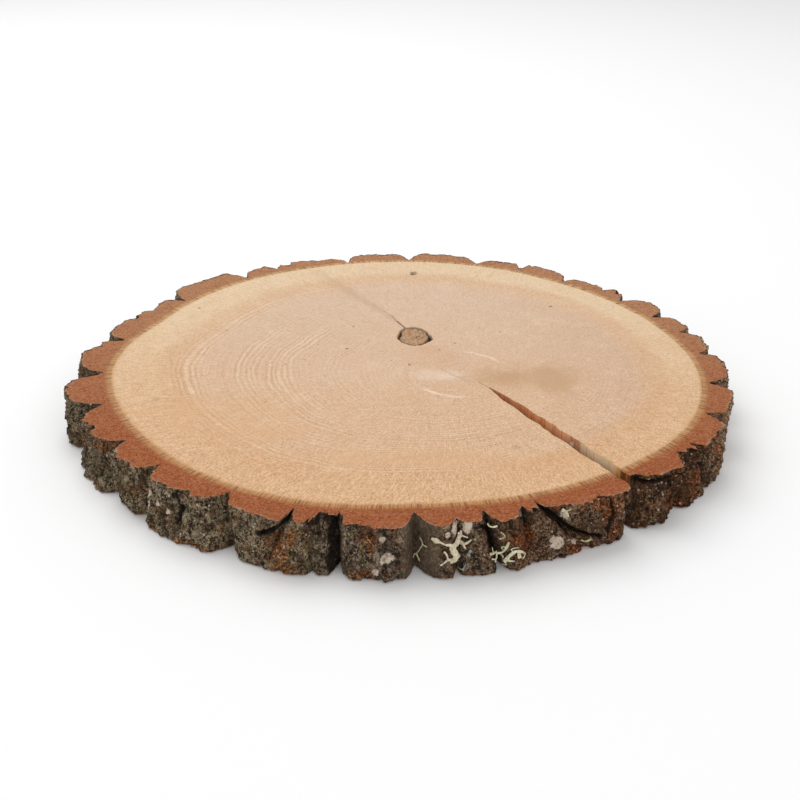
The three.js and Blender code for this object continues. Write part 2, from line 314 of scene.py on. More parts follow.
@dataclass(frozen=True)
class SawnFace:
    """The end grain: growth rings round the pith, heart, sapwood, cambium and the sawn bark."""

    trunk: Trunk
    rings: float = 60.0
    # The back colours are paler than the front ones: partly the wood's own tone and partly painted light. The sawn
    # bark's back colour is painted sheen.
    heart_front: tuple[float, float, float] = (0.668, 0.415, 0.246)
    heart_back: tuple[float, float, float] = (0.660, 0.472, 0.340)
    middle_front: tuple[float, float, float] = (0.646, 0.370, 0.186)
    middle_back: tuple[float, float, float] = (0.675, 0.448, 0.280)
    sapwood_front: tuple[float, float, float] = (0.668, 0.388, 0.196)
    sapwood_back: tuple[float, float, float] = (0.748, 0.556, 0.360)
    cambium: tuple[float, float, float] = (0.230, 0.105, 0.042)
    bark: tuple[float, float, float] = (0.590, 0.168, 0.056)
    bark_back_sheen: tuple[float, float, float] = (0.720, 0.345, 0.172)

    def rings_at(self, graph: Graph, flat: object, growth: object, heading: object) -> tuple:
        """Works out the growth rings, which wander, crowd and fade along their length.

        Args:
            graph: The material's nodes.
            flat: Coordinates in millimetres from the middle of the wood.
            growth: How far out the place grew, from 0 to 1.
            heading: The direction from the pith.

        Returns:
            The growth with its wobble, how pale and how dark the ring lines are, and a height.
        """
        wobble = graph.math("SUBTRACT", graph.noise(flat, 0.035, 2, 0.5), 0.5)
        ripple = graph.math("SUBTRACT", graph.noise(flat, 0.14, 3, 0.6), 0.5)
        grown = graph.math("ADD", growth, graph.math("MULTIPLY", wobble, 0.025))
        grown = graph.math("ADD", grown, graph.math("MULTIPLY", ripple, 0.014))
        stretch = graph.node("ShaderNodeCombineXYZ", {2: graph.math("MULTIPLY", grown, 9.0)}).outputs[0]
        uneven = graph.noise(stretch, 1.0, 3, 0.6)
        phase = graph.math("ADD", graph.math("MULTIPLY", grown, self.rings), graph.math("MULTIPLY", uneven, 5.0))
        swing = graph.math("SINE", graph.math("MULTIPLY", phase, TURN), 0)
        turned = graph.vector("MULTIPLY", heading, (0.5, 0.5, 0.0))
        year = graph.node("ShaderNodeCombineXYZ", {2: phase}).outputs[0]
        each = graph.noise(graph.vector("ADD", turned, graph.vector("MULTIPLY", year, (0, 0, 0.45))), 1.0, 2, 0.6)
        left = graph.vector("DOT_PRODUCT", heading, (-0.80, -0.60, 0.0))
        where = graph.math("MULTIPLY", graph.span(left, -0.7, 0.9, 0.25, 1.0), graph.span(growth, 0.14, 0.42, 0.38, 1.0))
        where = graph.math("MULTIPLY", where, graph.span(growth, 0.74, 0.86, 1.0, 0.22))
        where = graph.math("MULTIPLY", where, graph.span(graph.noise(flat, 0.03, 2), 0.35, 0.62, 0.45, 1.15))
        where = graph.math("MULTIPLY", where, graph.span(each, 0.40, 0.60, 0.15, 1.35))
        pale = graph.math("MULTIPLY", graph.span(swing, 0.0, 0.95), where)
        dark = graph.math("MULTIPLY", graph.span(swing, -0.1, -0.95), where)
        return grown, pale, dark, graph.math("MULTIPLY", graph.math("MULTIPLY", swing, where), 0.35)

    def colour(self, graph: Graph, place: object) -> tuple[bpy.types.NodeSocket, bpy.types.NodeSocket]:
        """Builds the colour and the relief of the end grain.

        Args:
            graph: The material's nodes.
            place: Coordinates in millimetres from the middle of the wood.

        Returns:
            The colour and a height of about 0 to 1.
        """
        growth = graph.attribute("growth")
        flat = graph.vector("MULTIPLY", place, (1, 1, 0.12))
        outward = graph.vector("SUBTRACT", flat, (*self.trunk.pith, 0.0))
        heading = graph.node("ShaderNodeVectorMath", {0: outward}, operation="NORMALIZE").outputs[0]
        grown, pale, dark, height = self.rings_at(graph, flat, growth, heading)

        # Heart, the browner middle zone and the sapwood, each paler towards the back, and the heart darker towards the
        # right: partly the wood's own tone and partly painted light, as if lit from the back-left.
        away = graph.node("ShaderNodeSeparateXYZ", {0: flat}).outputs
        back_tone_and_sheen = graph.span(away[1], -115, 95)
        blotch = graph.math("SUBTRACT", graph.noise(flat, 0.028, 3, 0.6), 0.5)
        zone = graph.math("ADD", grown, graph.math("MULTIPLY", blotch, 0.09))
        heart = graph.mix(back_tone_and_sheen, self.heart_front, self.heart_back)
        heart = graph.mix(graph.span(away[0], 40, 115, 0.0, 0.55), heart, (0.588, 0.386, 0.264))
        middle = graph.mix(back_tone_and_sheen, self.middle_front, self.middle_back)
        sapwood = graph.mix(back_tone_and_sheen, self.sapwood_front, self.sapwood_back)
        colour = graph.mix(graph.span(zone, 0.72, 0.815), heart, middle)
        colour = graph.mix(graph.span(zone, 0.83, 0.90), colour, sapwood)
        cloud = graph.noise(flat, 0.075, 4, 0.65)
        colour = graph.mix(graph.span(cloud, 0.52, 0.72, 0.0, 0.22), colour, (0.60, 0.33, 0.17))
        colour = graph.mix(graph.span(cloud, 0.47, 0.28, 0.0, 0.22), colour, (0.86, 0.66, 0.47))
        colour = graph.mix(graph.math("MULTIPLY", pale, 0.32), colour, (0.88, 0.68, 0.49))
        colour = graph.mix(graph.math("MULTIPLY", dark, 0.22), colour, (0.44, 0.235, 0.115))

        # Fine grain, rays that run out from the pith, and open pores that gather in places.
        spread = graph.vector("MULTIPLY", heading, (130, 130, 0))
        lifted = graph.node("ShaderNodeCombineXYZ", {2: graph.math("MULTIPLY", grown, 26.0)}).outputs[0]
        rays = graph.noise(graph.vector("ADD", spread, lifted), 1.1, 3, 0.7)
        grain = graph.noise(flat, 1.8, 3, 0.75)
        front = graph.span(away[1], 60, -110, 0.62, 1.0)
        rough = graph.math("MULTIPLY", graph.span(growth, 0.70, 0.90, 0.85, 1.0), front)
        for texture, low, high, strength, shade in (
            (grain, 0.50, 0.63, 0.60, (0.38, 0.195, 0.09)), (grain, 0.50, 0.37, 0.50, (0.92, 0.73, 0.52)),
            (rays, 0.50, 0.66, 0.32, (0.40, 0.21, 0.10)), (rays, 0.48, 0.33, 0.30, (0.93, 0.74, 0.52)),
        ):
            share = graph.math("MULTIPLY", graph.span(texture, low, high), graph.math("MULTIPLY", rough, strength))
            colour = graph.mix(share, colour, shade)
        gather = graph.math("MULTIPLY", graph.span(graph.noise(flat, 0.06, 3, 0.6), 0.44, 0.60), front)
        pores = graph.math("MULTIPLY", graph.span(graph.cells(flat, 0.55), 0.10, 0.24, 1.0, 0.0), gather)
        colour = graph.mix(graph.math("MULTIPLY", pores, 0.75), colour, (0.22, 0.115, 0.06))

        colour = self.marks(graph, flat, colour)
        colour, barked, gritty = self.rim(graph, place, growth, back_tone_and_sheen, colour)

        height = graph.math("ADD", height, graph.math("MULTIPLY", grain, 0.5))
        height = graph.math("ADD", height, graph.math("MULTIPLY", rays, 0.35))
        rough_bark = graph.math("MULTIPLY", graph.math("SUBTRACT", gritty, 0.5), 3.4)
        height = graph.math("ADD", height, graph.math("MULTIPLY", rough_bark, barked))
        return colour, height

    def rim(
        self, graph: Graph, place: object, growth: object, back_tone_and_sheen: object, colour: object
    ) -> tuple:
        """Lays the sawn bark outside the growth line, with short dark teeth along it.

        Args:
            graph: The material's nodes.
            place: Coordinates in millimetres from the middle of the wood.
            growth: How far out the place grew, with the bark past 1.
            back_tone_and_sheen: 0 at the front to 1 at the back, where the colours are painted paler, partly as sheen.
            colour: The wood's colour.

        Returns:
            The colour, how much of it is bark, and the bark's grit.
        """
        level = graph.vector("MULTIPLY", place, (1, 1, 0))
        heading = graph.node("ShaderNodeVectorMath", {0: level}, operation="NORMALIZE").outputs[0]
        spread = graph.vector("MULTIPLY", heading, (150, 150, 0))
        teeth = graph.noise(spread, 1.1, 3, 0.65)
        slow = graph.noise(spread, 0.09, 2, 0.6)
        fray = graph.noise(place, 0.9, 3, 0.7)
        reach = graph.math("ADD", graph.math("MULTIPLY", teeth, 0.012), graph.math("MULTIPLY", slow, 0.010))
        reach = graph.math("ADD", reach, graph.math("MULTIPLY", fray, 0.014))
        edge = graph.math("SUBTRACT", graph.math("ADD", growth, reach), 0.018)
        golden = graph.span(edge, 0.984, 1.000)
        toothed = graph.math("MULTIPLY", graph.span(edge, 0.993, 1.000), graph.span(edge, 1.026, 1.008))
        barked = graph.span(edge, 1.002, 1.026)
        gritty = graph.noise(place, 1.0, 4, 0.8)
        patchy = graph.noise(place, 0.16, 3, 0.6)
        layers = graph.node("ShaderNodeCombineXYZ", {2: graph.math("MULTIPLY", growth, 90.0)}).outputs[0]
        along = graph.noise(graph.vector("ADD", graph.vector("MULTIPLY", heading, (12, 12, 0)), layers), 0.9, 2, 0.6)
        # Painted sheen: the sawn bark turns paler towards the back.
        bark = graph.mix(back_tone_and_sheen, self.bark, self.bark_back_sheen)
        for texture, low, high, strength, shade in (
            (gritty, 0.51, 0.62, 0.55, (0.78, 0.40, 0.22)), (gritty, 0.49, 0.37, 0.72, (0.20, 0.050, 0.016)),
            (along, 0.50, 0.66, 0.25, (0.68, 0.30, 0.15)), (patchy, 0.52, 0.70, 0.26, (0.34, 0.095, 0.034)),
        ):
            bark = graph.mix(graph.span(texture, low, high, 0.0, strength), bark, shade)
        # Painted sheen: the golden band turns paler towards the back too.
        gold = graph.mix(back_tone_and_sheen, (0.500, 0.245, 0.092), (0.600, 0.350, 0.150))
        colour = graph.mix(graph.math("MULTIPLY", golden, 0.8), colour, gold)
        colour = graph.mix(barked, colour, bark)
        tooth = graph.math("MULTIPLY", toothed, graph.span(teeth, 0.49, 0.58, 0.0, 0.8))
        colour = graph.mix(tooth, colour, self.cambium)
        return colour, barked, gritty

    def marks(self, graph: Graph, flat: object, colour: object) -> bpy.types.NodeSocket:
        """Adds the stain, the pith, the pale arcs, the streak, the knot's halo, the specks and painted shade in the
        small hole.

        Args:
            graph: The material's nodes.
            flat: Coordinates in millimetres from the middle of the wood.
            colour: The colour so far.

        Returns:
            The marked colour.
        """
        edge = graph.math("MULTIPLY", graph.math("SUBTRACT", graph.noise(flat, 0.09, 4, 0.65), 0.5), 1.5)
        mottle = graph.math("MULTIPLY", graph.math("SUBTRACT", graph.noise(flat, 0.4, 3, 0.7), 0.5), 0.9)
        stain, stain_dark = (0.530, 0.318, 0.172), (0.480, 0.272, 0.142)
        red, tan, straw = (0.62, 0.335, 0.19), (0.66, 0.42, 0.25), (0.86, 0.73, 0.60)
        orange = (0.655, 0.375, 0.185)
        soft_patches = (
            ((48, -22), (21, 10), 0.50, stain), ((72, -24), (13, 22), 0.55, stain), ((60, -23), (30, 18), 0.38, stain),
            ((50, -21), (8, 5), 0.22, stain_dark), ((14, 3), (18, 14), 0.18, red), ((15, -20), (17, 9), 0.30, straw),
            ((20, -21), (6, 4), 0.18, (0.88, 0.76, 0.64)), ((11, 11), (9, 6), 0.30, red), ((3, 28), (14, 18), 0.32, tan),
            ((-86, -62), (44, 20), 0.30, orange), ((10, -106), (80, 11), 0.35, orange), ((-70, -82), (36, 12), 0.30, orange),
            ((-30, -16), (34, 20), 0.14, (0.72, 0.56, 0.43)),
        )
        for middle, size, strength, shade in soft_patches:
            offset = graph.vector("SUBTRACT", flat, (*middle, 0.0))
            away = graph.vector("LENGTH", graph.vector("DIVIDE", offset, (*size, 1.0e3)), (0, 0, 0))
            ragged = graph.math("ADD", graph.math("ADD", away, edge), mottle)
            colour = graph.mix(graph.span(ragged, 0.35, 1.2, strength, 0.0), colour, shade)
        arcs = (((20.5, -21.2), 31.2, 28, 80, 0.40), ((28, -20), 24.5, 210, 278, 0.46), ((22, -20), 21, 200, 262, 0.16))
        for middle, radius, low, high, strength in arcs:
            offset = graph.vector("SUBTRACT", flat, (*middle, 0.0))
            away = graph.vector("LENGTH", graph.vector("MULTIPLY", offset, (1, 1, 0)), (0, 0, 0))
            line = graph.math("ABSOLUTE", graph.math("SUBTRACT", graph.math("ADD", away, graph.math("MULTIPLY", edge, 2.0)), radius))
            centre = math.radians((low + high) / 2)
            heading = graph.node("ShaderNodeVectorMath", {0: offset}, operation="NORMALIZE").outputs[0]
            facing = graph.vector("DOT_PRODUCT", heading, (math.cos(centre), math.sin(centre), 0))
            window = graph.span(facing, math.cos(math.radians((high - low) / 2)), 0.985)
            colour = graph.mix(graph.math("MULTIPLY", graph.span(line, 0.1, 1.5, strength, 0.0), window), colour, (0.93, 0.82, 0.68))

        # Short checks at the pith, and the fine dark line from the knot with the streak it fades into.
        checks = (
            ((23, -20), (30, -27), 0.30, 0.26), ((23, -21), (17, -12), 0.26, 0.24), ((24, -22), (33, -21), 0.22, 0.2),
            ((39, -33), (35, -28), 0.24, 0.6), ((22, -22), (16, -29), 0.18, 0.16), ((26, -16), (31, -6), 0.2, 0.18),
            ((-1.2, 40.2), (-5.2, 48.4), 0.42, 0.85), ((-5.2, 48.4), (-7.8, 55.5), 0.36, 0.5),
            ((-7.8, 55.5), (-12.5, 63), 0.5, 0.28), ((-12.5, 63), (-19, 74), 0.6, 0.14),
        )
        for start, end, wide, strength in checks:
            run = Vector(end) - Vector(start)
            offset = graph.vector("SUBTRACT", flat, (*start, 0.0))
            share = graph.math("DIVIDE", graph.vector("DOT_PRODUCT", offset, (*run, 0.0)), run.length_squared, clamp=True)
            nearest = graph.node("ShaderNodeVectorMath", {0: (*run, 0.0)}, operation="SCALE")
            graph.put(nearest.inputs["Scale"], share)
            off = graph.vector("LENGTH", graph.vector("MULTIPLY", graph.vector("SUBTRACT", offset, nearest.outputs[0]), (1, 1, 0)), (0, 0, 0))
            off = graph.math("ADD", off, graph.math("MULTIPLY", edge, 0.5))
            colour = graph.mix(graph.span(off, 0.3 * wide, 2.4 * wide, strength, 0.0), colour, (0.14, 0.078, 0.045))
        start, end = Vector((-3, 44)), Vector((-57.0, 131.0))
        run = (end - start).normalized()
        offset = graph.vector("SUBTRACT", flat, (*start, 0.0))
        far = graph.vector("DOT_PRODUCT", offset, (*run, 0.0))
        off = graph.vector("DOT_PRODUCT", offset, (-run.y, run.x, 0.0))
        off = graph.math("ABSOLUTE", graph.math("ADD", off, graph.math("MULTIPLY", edge, 3.0)))
        share = graph.math("DIVIDE", off, graph.span(far, 0, 70, 1.6, 7.5))
        streak = graph.math("MULTIPLY", graph.span(share, 0.0, 1.0, 1.0, 0.0), graph.span(far, 0, 14))
        streak = graph.math("MULTIPLY", streak, graph.span(far, 50, 106, 0.36, 0.20))
        streak = graph.math("MULTIPLY", streak, graph.span(far, 98, 106, 1.0, 0.0))
        colour = graph.mix(streak, colour, (0.47, 0.285, 0.17))

        cloud = graph.node("ShaderNodeTexNoise", {"Vector": flat, "Scale": 0.8, "Detail": 2.0}).outputs["Color"]
        bent = graph.vector("MULTIPLY", graph.vector("SUBTRACT", cloud, (0.5, 0.5, 0.5)), (2.6, 2.6, 0))
        bent = graph.vector("ADD", flat, bent)
        for x, y, reach, strength in (
            (80.2, 72, 1.5, 0.9), (-115.5, 66.5, 1.3, 0.7), (-28.6, 41, 1.1, 0.6), (-30.8, 11.6, 1.4, 0.75),
            (49.6, 35, 1.1, 0.7), (25, 19.4, 1.1, 0.7), (16.6, 10.8, 0.9, 0.55), (38.7, 40.5, 0.9, 0.5), (1.4, -8, 1.2, 0.6),
            (-8, -3, 1.0, 0.55), (48, -94, 3.0, 0.25), (-118, -49, 2.4, 0.25), (-46, 17, 0.9, 0.5), (34, 6, 0.8, 0.5),
            (-19, 64, 0.9, 0.4), (-52, -2, 0.9, 0.6), (-61, -8, 0.8, 0.5), (-40, -22, 1.0, 0.55), (-73, 12, 0.8, 0.4),
            (-20, 22, 0.8, 0.5), (62, 12, 0.8, 0.4), (-66, -51, 1.0, 0.35), (91, 28, 0.8, 0.4), (13, -64, 0.9, 0.4),
            (-96, 35, 1.0, 0.45), (-36, 52, 0.8, 0.4), (-12, 8, 0.8, 0.5), (-54, 24, 0.7, 0.45), (28, 62, 0.8, 0.35),
        ):
            mark = graph.math("MULTIPLY", graph.spot(bent, (x, y, 3.0), reach, 0.75), strength)
            colour = graph.mix(mark, colour, (0.10, 0.062, 0.045))
        # Painted shade: the small hole near the bark is filled with near black, as if in shadow.
        hole_shade = graph.math("MULTIPLY", graph.spot(graph.vector("MULTIPLY", bent, (1.2, 0.75, 1)), (4.6, 93.2, 3.0), 2.8, 0.6), 0.95)
        return graph.mix(hole_shade, colour, (0.05, 0.045, 0.042))

    def material(self) -> bpy.types.Material:
        """The finish of the wood: end grain on the sawn faces, split grain on the crack's walls."""
        graph = new_graph("sawn end grain", 0.25)
        place = graph.place(self.trunk)
        colour, height = self.colour(graph, place)
        colour, height = self.split_grain(graph, place, colour, height)
        colour = self.knot(graph, place, colour)
        rough = graph.span(graph.noise(place, 0.4, 2), 0.3, 0.7, 0.62, 0.78)
        graph.finish(colour, rough, height, 0.0003, 0.6)
        return graph.material

    def split_grain(self, graph: Graph, place: object, colour: object, height: object) -> tuple:
        """Lays split wood over the crack's walls: fibres that run from face to face.

        Args:
            graph: The material's nodes.
            place: Coordinates in millimetres from the middle of the wood.
            colour: The end grain's colour.
            height: The end grain's relief.

        Returns:
            The colour and the height with the walls laid over.
        """
        wall = graph.span(graph.attribute("wall"), 0.05, 0.45)
        trunk = self.trunk
        offset = graph.vector("SUBTRACT", place, (*trunk.tip, 0.0))
        far = graph.vector("DOT_PRODUCT", offset, (*trunk.along, 0.0))
        upright = graph.vector("MULTIPLY", place, (1, 1, 0.05))
        fibres = graph.noise(upright, 1.5, 3, 0.65)
        strips = graph.noise(upright, 0.35, 2, 0.5)
        share = graph.math("DIVIDE", graph.math("ADD", far, graph.math("MULTIPLY", graph.math("SUBTRACT", strips, 0.5), 8.0)), 100.0)
        base = graph.ramp(share, (
            (0.0, (0.62, 0.240, 0.085)), (0.35, (0.92, 0.400, 0.165)), (0.58, (0.98, 0.50, 0.255)), (0.65, (0.98, 0.53, 0.28)),
            (0.68, (1.00, 0.74, 0.50)), (0.88, (1.00, 0.78, 0.52)), (0.935, (0.84, 0.46, 0.14)), (0.96, (0.66, 0.24, 0.055)),
        ))
        base = graph.mix(graph.span(fibres, 0.46, 0.66, 0.0, 0.4), base, (1.0, 0.68, 0.42))
        base = graph.mix(graph.span(fibres, 0.48, 0.34, 0.0, 0.5), base, (0.34, 0.130, 0.066))
        step = graph.math("MULTIPLY", graph.span(far, 59, 61), graph.span(far, 68, 65.5))
        base = graph.mix(graph.math("MULTIPLY", step, 0.35), base, (0.30, 0.100, 0.050))
        depth = graph.node("ShaderNodeSeparateXYZ", {0: place}).outputs[2]
        beside = graph.math("ABSOLUTE", graph.math("SUBTRACT", far, 61.4))
        under = graph.math("ABSOLUTE", graph.math("SUBTRACT", depth, 21.2))
        chip = graph.math("MULTIPLY", graph.span(beside, 1.1, 0.9), graph.span(under, 1.1, 0.9))
        base = graph.mix(chip, base, (1.0, 0.90, 0.68))
        # Painted shade: the crack's walls are darkened towards their lower part, deep in the crack.
        base = graph.mix(graph.span(depth, 24.6, 13, 0.0, 0.80), base, (0.10, 0.038, 0.018))
        fibre_height = graph.math("MULTIPLY", graph.math("MULTIPLY", fibres, wall), 1.5)
        return graph.mix(wall, colour, base), graph.math("ADD", height, fibre_height)

    def knot(self, graph: Graph, place: object, colour: object) -> bpy.types.NodeSocket:
        """Colours the dead knot and the dark ring round it: partly the knot's own dark bark ring and partly painted
        shade in the gap, darker where the gap is deeper.
        """
        inside = graph.attribute("knot")
        rim = graph.attribute("knot_ring_and_gap_shade")
        offset = graph.vector("SUBTRACT", place, (4.0, 28.0, 0.0))
        swirl = graph.noise(graph.vector("MULTIPLY", offset, (1.0, 0.55, 0.1)), 0.5, 4, 0.7, 1.2)
        body = graph.mix(graph.span(swirl, 0.40, 0.60), (0.32, 0.175, 0.095), (0.54, 0.345, 0.205))
        body = graph.mix(graph.span(graph.noise(offset, 0.22, 2), 0.45, 0.65, 0.0, 0.4), body, (0.46, 0.25, 0.11))
        body = graph.mix(graph.span(swirl, 0.38, 0.30, 0.0, 0.8), body, (0.09, 0.05, 0.03))
        colour = graph.mix(inside, colour, body)
        # The ring round the knot goes near black: partly its own dark bark, partly painted shade.
        return graph.mix(rim, colour, (0.034, 0.023, 0.016))


@dataclass(frozen=True)
class BarkFinish:
    """The bark: dark weathered plates outside, with lichens and broken patches, and red-brown where sawn."""

    trunk: Trunk
    sawn: SawnFace
    dark: tuple[float, float, float] = (0.012, 0.0078, 0.0052)
    brown: tuple[float, float, float] = (0.078, 0.043, 0.024)
    grey: tuple[float, float, float] = (0.190, 0.150, 0.112)
    olive: tuple[float, float, float] = (0.190, 0.145, 0.034)
    broken: tuple[float, float, float] = (0.270, 0.098, 0.034)
    crust: tuple[float, float, float] = (0.760, 0.620, 0.490)

    def material(self) -> bpy.types.Material:
        """The finish of the whole bark ring."""
        graph = new_graph("furrowed bark", 0.15)
        place = graph.place(self.trunk)
        face, face_height = self.sawn.colour(graph, place)
        shell, shell_height = self.shell(graph, place)
        mask = graph.attribute("sawn")
        fray = graph.math("MULTIPLY", graph.math("SUBTRACT", graph.noise(place, 0.8, 3, 0.7), 0.5), 0.9)
        sawn = graph.span(graph.math("ADD", mask, fray), 0.42, 0.58)
        torn = graph.math("MULTIPLY", graph.span(mask, 0.98, 0.6), graph.span(graph.noise(place, 0.45, 3, 0.7), 0.43, 0.55))
        face = graph.mix(graph.math("MULTIPLY", torn, 0.8), face, (0.80, 0.50, 0.33))
        inner = graph.attribute("wall")
        fibre = graph.noise(graph.vector("MULTIPLY", place, (1, 1, 0.08)), 1.2, 3, 0.6)
        inner_colour = graph.mix(graph.span(fibre, 0.4, 0.65), (0.22, 0.065, 0.015), (0.50, 0.21, 0.06))
        depth = graph.node("ShaderNodeSeparateXYZ", {0: place}).outputs[2]
        # Painted shade: the crack's walls through the bark darken towards their lower part, deep in the crack.
        inner_colour = graph.mix(graph.span(depth, 22.5, 15.0, 0.0, 0.92), inner_colour, (0.045, 0.018, 0.009))
        colour = graph.mix(sawn, shell, face)
        colour = graph.mix(inner, colour, inner_colour)
        height = graph.node("ShaderNodeMix", {0: sawn, 2: shell_height, 3: face_height}, data_type="FLOAT").outputs[0]
        rough = graph.span(graph.noise(place, 0.6, 2), 0.3, 0.7, 0.75, 0.92)
        graph.finish(colour, rough, height, 0.0008, 0.9)
        return graph.material

    def shell(self, graph: Graph, place: object) -> tuple[bpy.types.NodeSocket, bpy.types.NodeSocket]:
        """Builds the colour and relief of the weathered outside.

        Args:
            graph: The material's nodes.
            place: Coordinates in millimetres from the middle of the wood.

        Returns:
            The colour and a height of about 0 to 1.
        """
        upright = graph.vector("MULTIPLY", place, (1, 1, 0.6))
        cavity_shade = graph.attribute("cavity_shade")
        smooth = graph.attribute("smooth_face")
        mottle = graph.noise(upright, 0.30, 4, 0.7)
        grit = graph.noise(place, 0.85, 4, 0.8)
        salt = graph.noise(place, 1.6, 2, 0.7)
        hue = graph.noise(place, 0.11, 2, 0.5)
        crumbs = graph.noise(upright, 0.55, 3, 0.7)
        east = graph.vector("DOT_PRODUCT", place, (1 / 150, 0.0, 0.0))
        ruddy_and_shaded = graph.math("MULTIPLY", graph.span(east, 0.42, 0.62), graph.span(east, 0.99, 0.90))
        colour = graph.ramp(mottle, (
            (0.36, self.dark), (0.43, (0.036, 0.021, 0.013)), (0.49, self.brown), (0.58, self.grey), (0.68, (0.30, 0.25, 0.20)),
        ))
        # The right side is browner and darker: partly the bark's own hue and partly painted shade.
        colour = graph.mix(graph.math("MULTIPLY", ruddy_and_shaded, 0.6), colour, (0.058, 0.027, 0.012))
        crowd = graph.span(graph.noise(place, 0.12, 2, 0.5), 0.40, 0.58, 0.25, 1.1)
        for texture, low, high, strength, shade in (
            (hue, 0.54, 0.62, 0.60, (0.140, 0.062, 0.028)), (crumbs, 0.53, 0.60, 0.70, (0.26, 0.200, 0.150)),
            (crumbs, 0.47, 0.39, 0.90, self.dark), (grit, 0.53, 0.62, 0.85, (0.40, 0.315, 0.225)),
            (grit, 0.48, 0.39, 0.90, self.dark), (salt, 0.59, 0.67, 0.75, (0.56, 0.47, 0.36)),
            (salt, 0.43, 0.35, 0.60, self.dark),
        ):
            share = graph.span(texture, low, high, 0.0, strength)
            if texture is not hue and high > low:
                share = graph.math("MULTIPLY", share, crowd)
            colour = graph.mix(share, colour, shade)
        rust = graph.math("MULTIPLY", graph.span(graph.noise(place, 0.24, 4, 0.75), 0.56, 0.64), graph.span(east, -0.9, 0.2, 0.35, 0.9))
        colour = graph.mix(rust, colour, graph.mix(graph.span(grit, 0.44, 0.58), (0.055, 0.020, 0.010), (0.25, 0.095, 0.036)))
        fray = graph.math("MULTIPLY", graph.math("SUBTRACT", graph.noise(place, 0.55, 4, 0.8), 0.5), 2.2)
        broken = graph.span(graph.math("ADD", graph.attribute("broken"), fray), 0.48, 0.70)
        torn = graph.mix(graph.span(grit, 0.42, 0.60), (0.060, 0.020, 0.009), self.broken)
        torn = graph.mix(graph.span(grit, 0.52, 0.64, 0.0, 0.9), torn, (0.60, 0.27, 0.11))
        colour = graph.mix(graph.math("MULTIPLY", broken, 0.88), colour, torn)
        streaks = graph.noise(graph.vector("MULTIPLY", place, (1, 1, 0.6)), 0.9, 4, 0.8)
        even = graph.mix(graph.span(streaks, 0.38, 0.62), (0.098, 0.071, 0.049), (0.235, 0.184, 0.136))
        even = graph.mix(graph.span(salt, 0.46, 0.34, 0.0, 0.7), even, (0.045, 0.031, 0.020))
        colour = graph.mix(graph.math("MULTIPLY", smooth, 0.62), colour, even)

        # The bark is tinted by region: lighter and warmer on the left, darker at the far left, ruddy and darker on the
        # right, greyer and paler at the far right. The lighter and darker steps are partly painted light and shade,
        # partly the bark's own hue.
        for low, high, tint in (
            (-0.10, -0.40, (1.30, 1.30, 1.12)), (-0.78, -0.92, (0.72, 0.70, 0.72)), (-0.14, 0.02, (0.90, 0.84, 0.76)),
            (0.12, 0.30, (1.06, 0.90, 0.80)), (0.60, 0.66, (0.78, 0.70, 0.62)), (0.84, 0.90, (1.36, 1.60, 1.85)),
            (0.90, 0.99, (1.70, 1.85, 1.85)),
        ):
            colour = graph.mix(graph.span(east, low, high), colour, tint, "MULTIPLY")

        # Moss and small crusts, as ragged dots that gather where the patches are.
        cells = graph.node("ShaderNodeTexVoronoi", {"Vector": place, "Scale": 0.85})
        pick = graph.node("ShaderNodeSeparateColor", {0: cells.outputs["Color"]}).outputs[0]
        edge = graph.math("ADD", cells.outputs["Distance"], graph.math("MULTIPLY", salt, 0.9))
        dot = graph.span(edge, 0.62, 0.84, 1.0, 0.0)
        gathered = graph.math("ADD", graph.math("MULTIPLY", graph.attribute("moss"), 1.3), 0.14, clamp=True)
        mossy = graph.math("MULTIPLY", graph.math("MULTIPLY", dot, graph.span(pick, 0.28, 0.34)), gathered)
        colour = graph.mix(graph.math("MULTIPLY", mossy, 0.9), colour, self.olive)
        bright = graph.math("MULTIPLY", mossy, graph.span(grit, 0.50, 0.60))
        colour = graph.mix(bright, colour, (0.46, 0.38, 0.12))
        ashen = graph.math("MULTIPLY", graph.math("MULTIPLY", dot, graph.span(pick, 0.20, 0.14)), graph.span(smooth, 0.6, 0.1))
        colour = graph.mix(graph.math("MULTIPLY", ashen, 0.55), colour, (0.40, 0.34, 0.27))
        specks = graph.node("ShaderNodeTexVoronoi", {"Vector": place, "Scale": 0.4})
        chosen = graph.node("ShaderNodeSeparateColor", {0: specks.outputs["Color"]}).outputs[1]
        speck = graph.math("MULTIPLY", graph.span(specks.outputs["Distance"], 0.26, 0.10), graph.span(chosen, 0.66, 0.90))
        speck = graph.math("MULTIPLY", speck, graph.span(smooth, 0.6, 0.1, 0.0, 0.8))
        colour = graph.mix(speck, colour, (0.62, 0.56, 0.46))
        spray = graph.math("MULTIPLY", graph.math("SUBTRACT", graph.noise(place, 0.75, 4, 0.75), 0.5), 0.8)
        crust = graph.span(graph.math("ADD", graph.attribute("crust"), spray), 0.48, 0.54)
        crusty = graph.mix(graph.span(grit, 0.38, 0.52), (0.42, 0.33, 0.25), self.crust)
        colour = graph.mix(crust, colour, crusty)
        # Painted shade: hollows, furrows, slots and chips are darkened towards near black, as if in shadow.
        colour = graph.mix(graph.span(cavity_shade, 0.18, 0.90, 0.0, 0.90), colour, self.dark)
        height = graph.math("ADD", graph.math("MULTIPLY", grit, 1.3), graph.math("MULTIPLY", mottle, 0.6))
        height = graph.math("ADD", height, graph.math("MULTIPLY", crust, 0.25))
        return colour, height


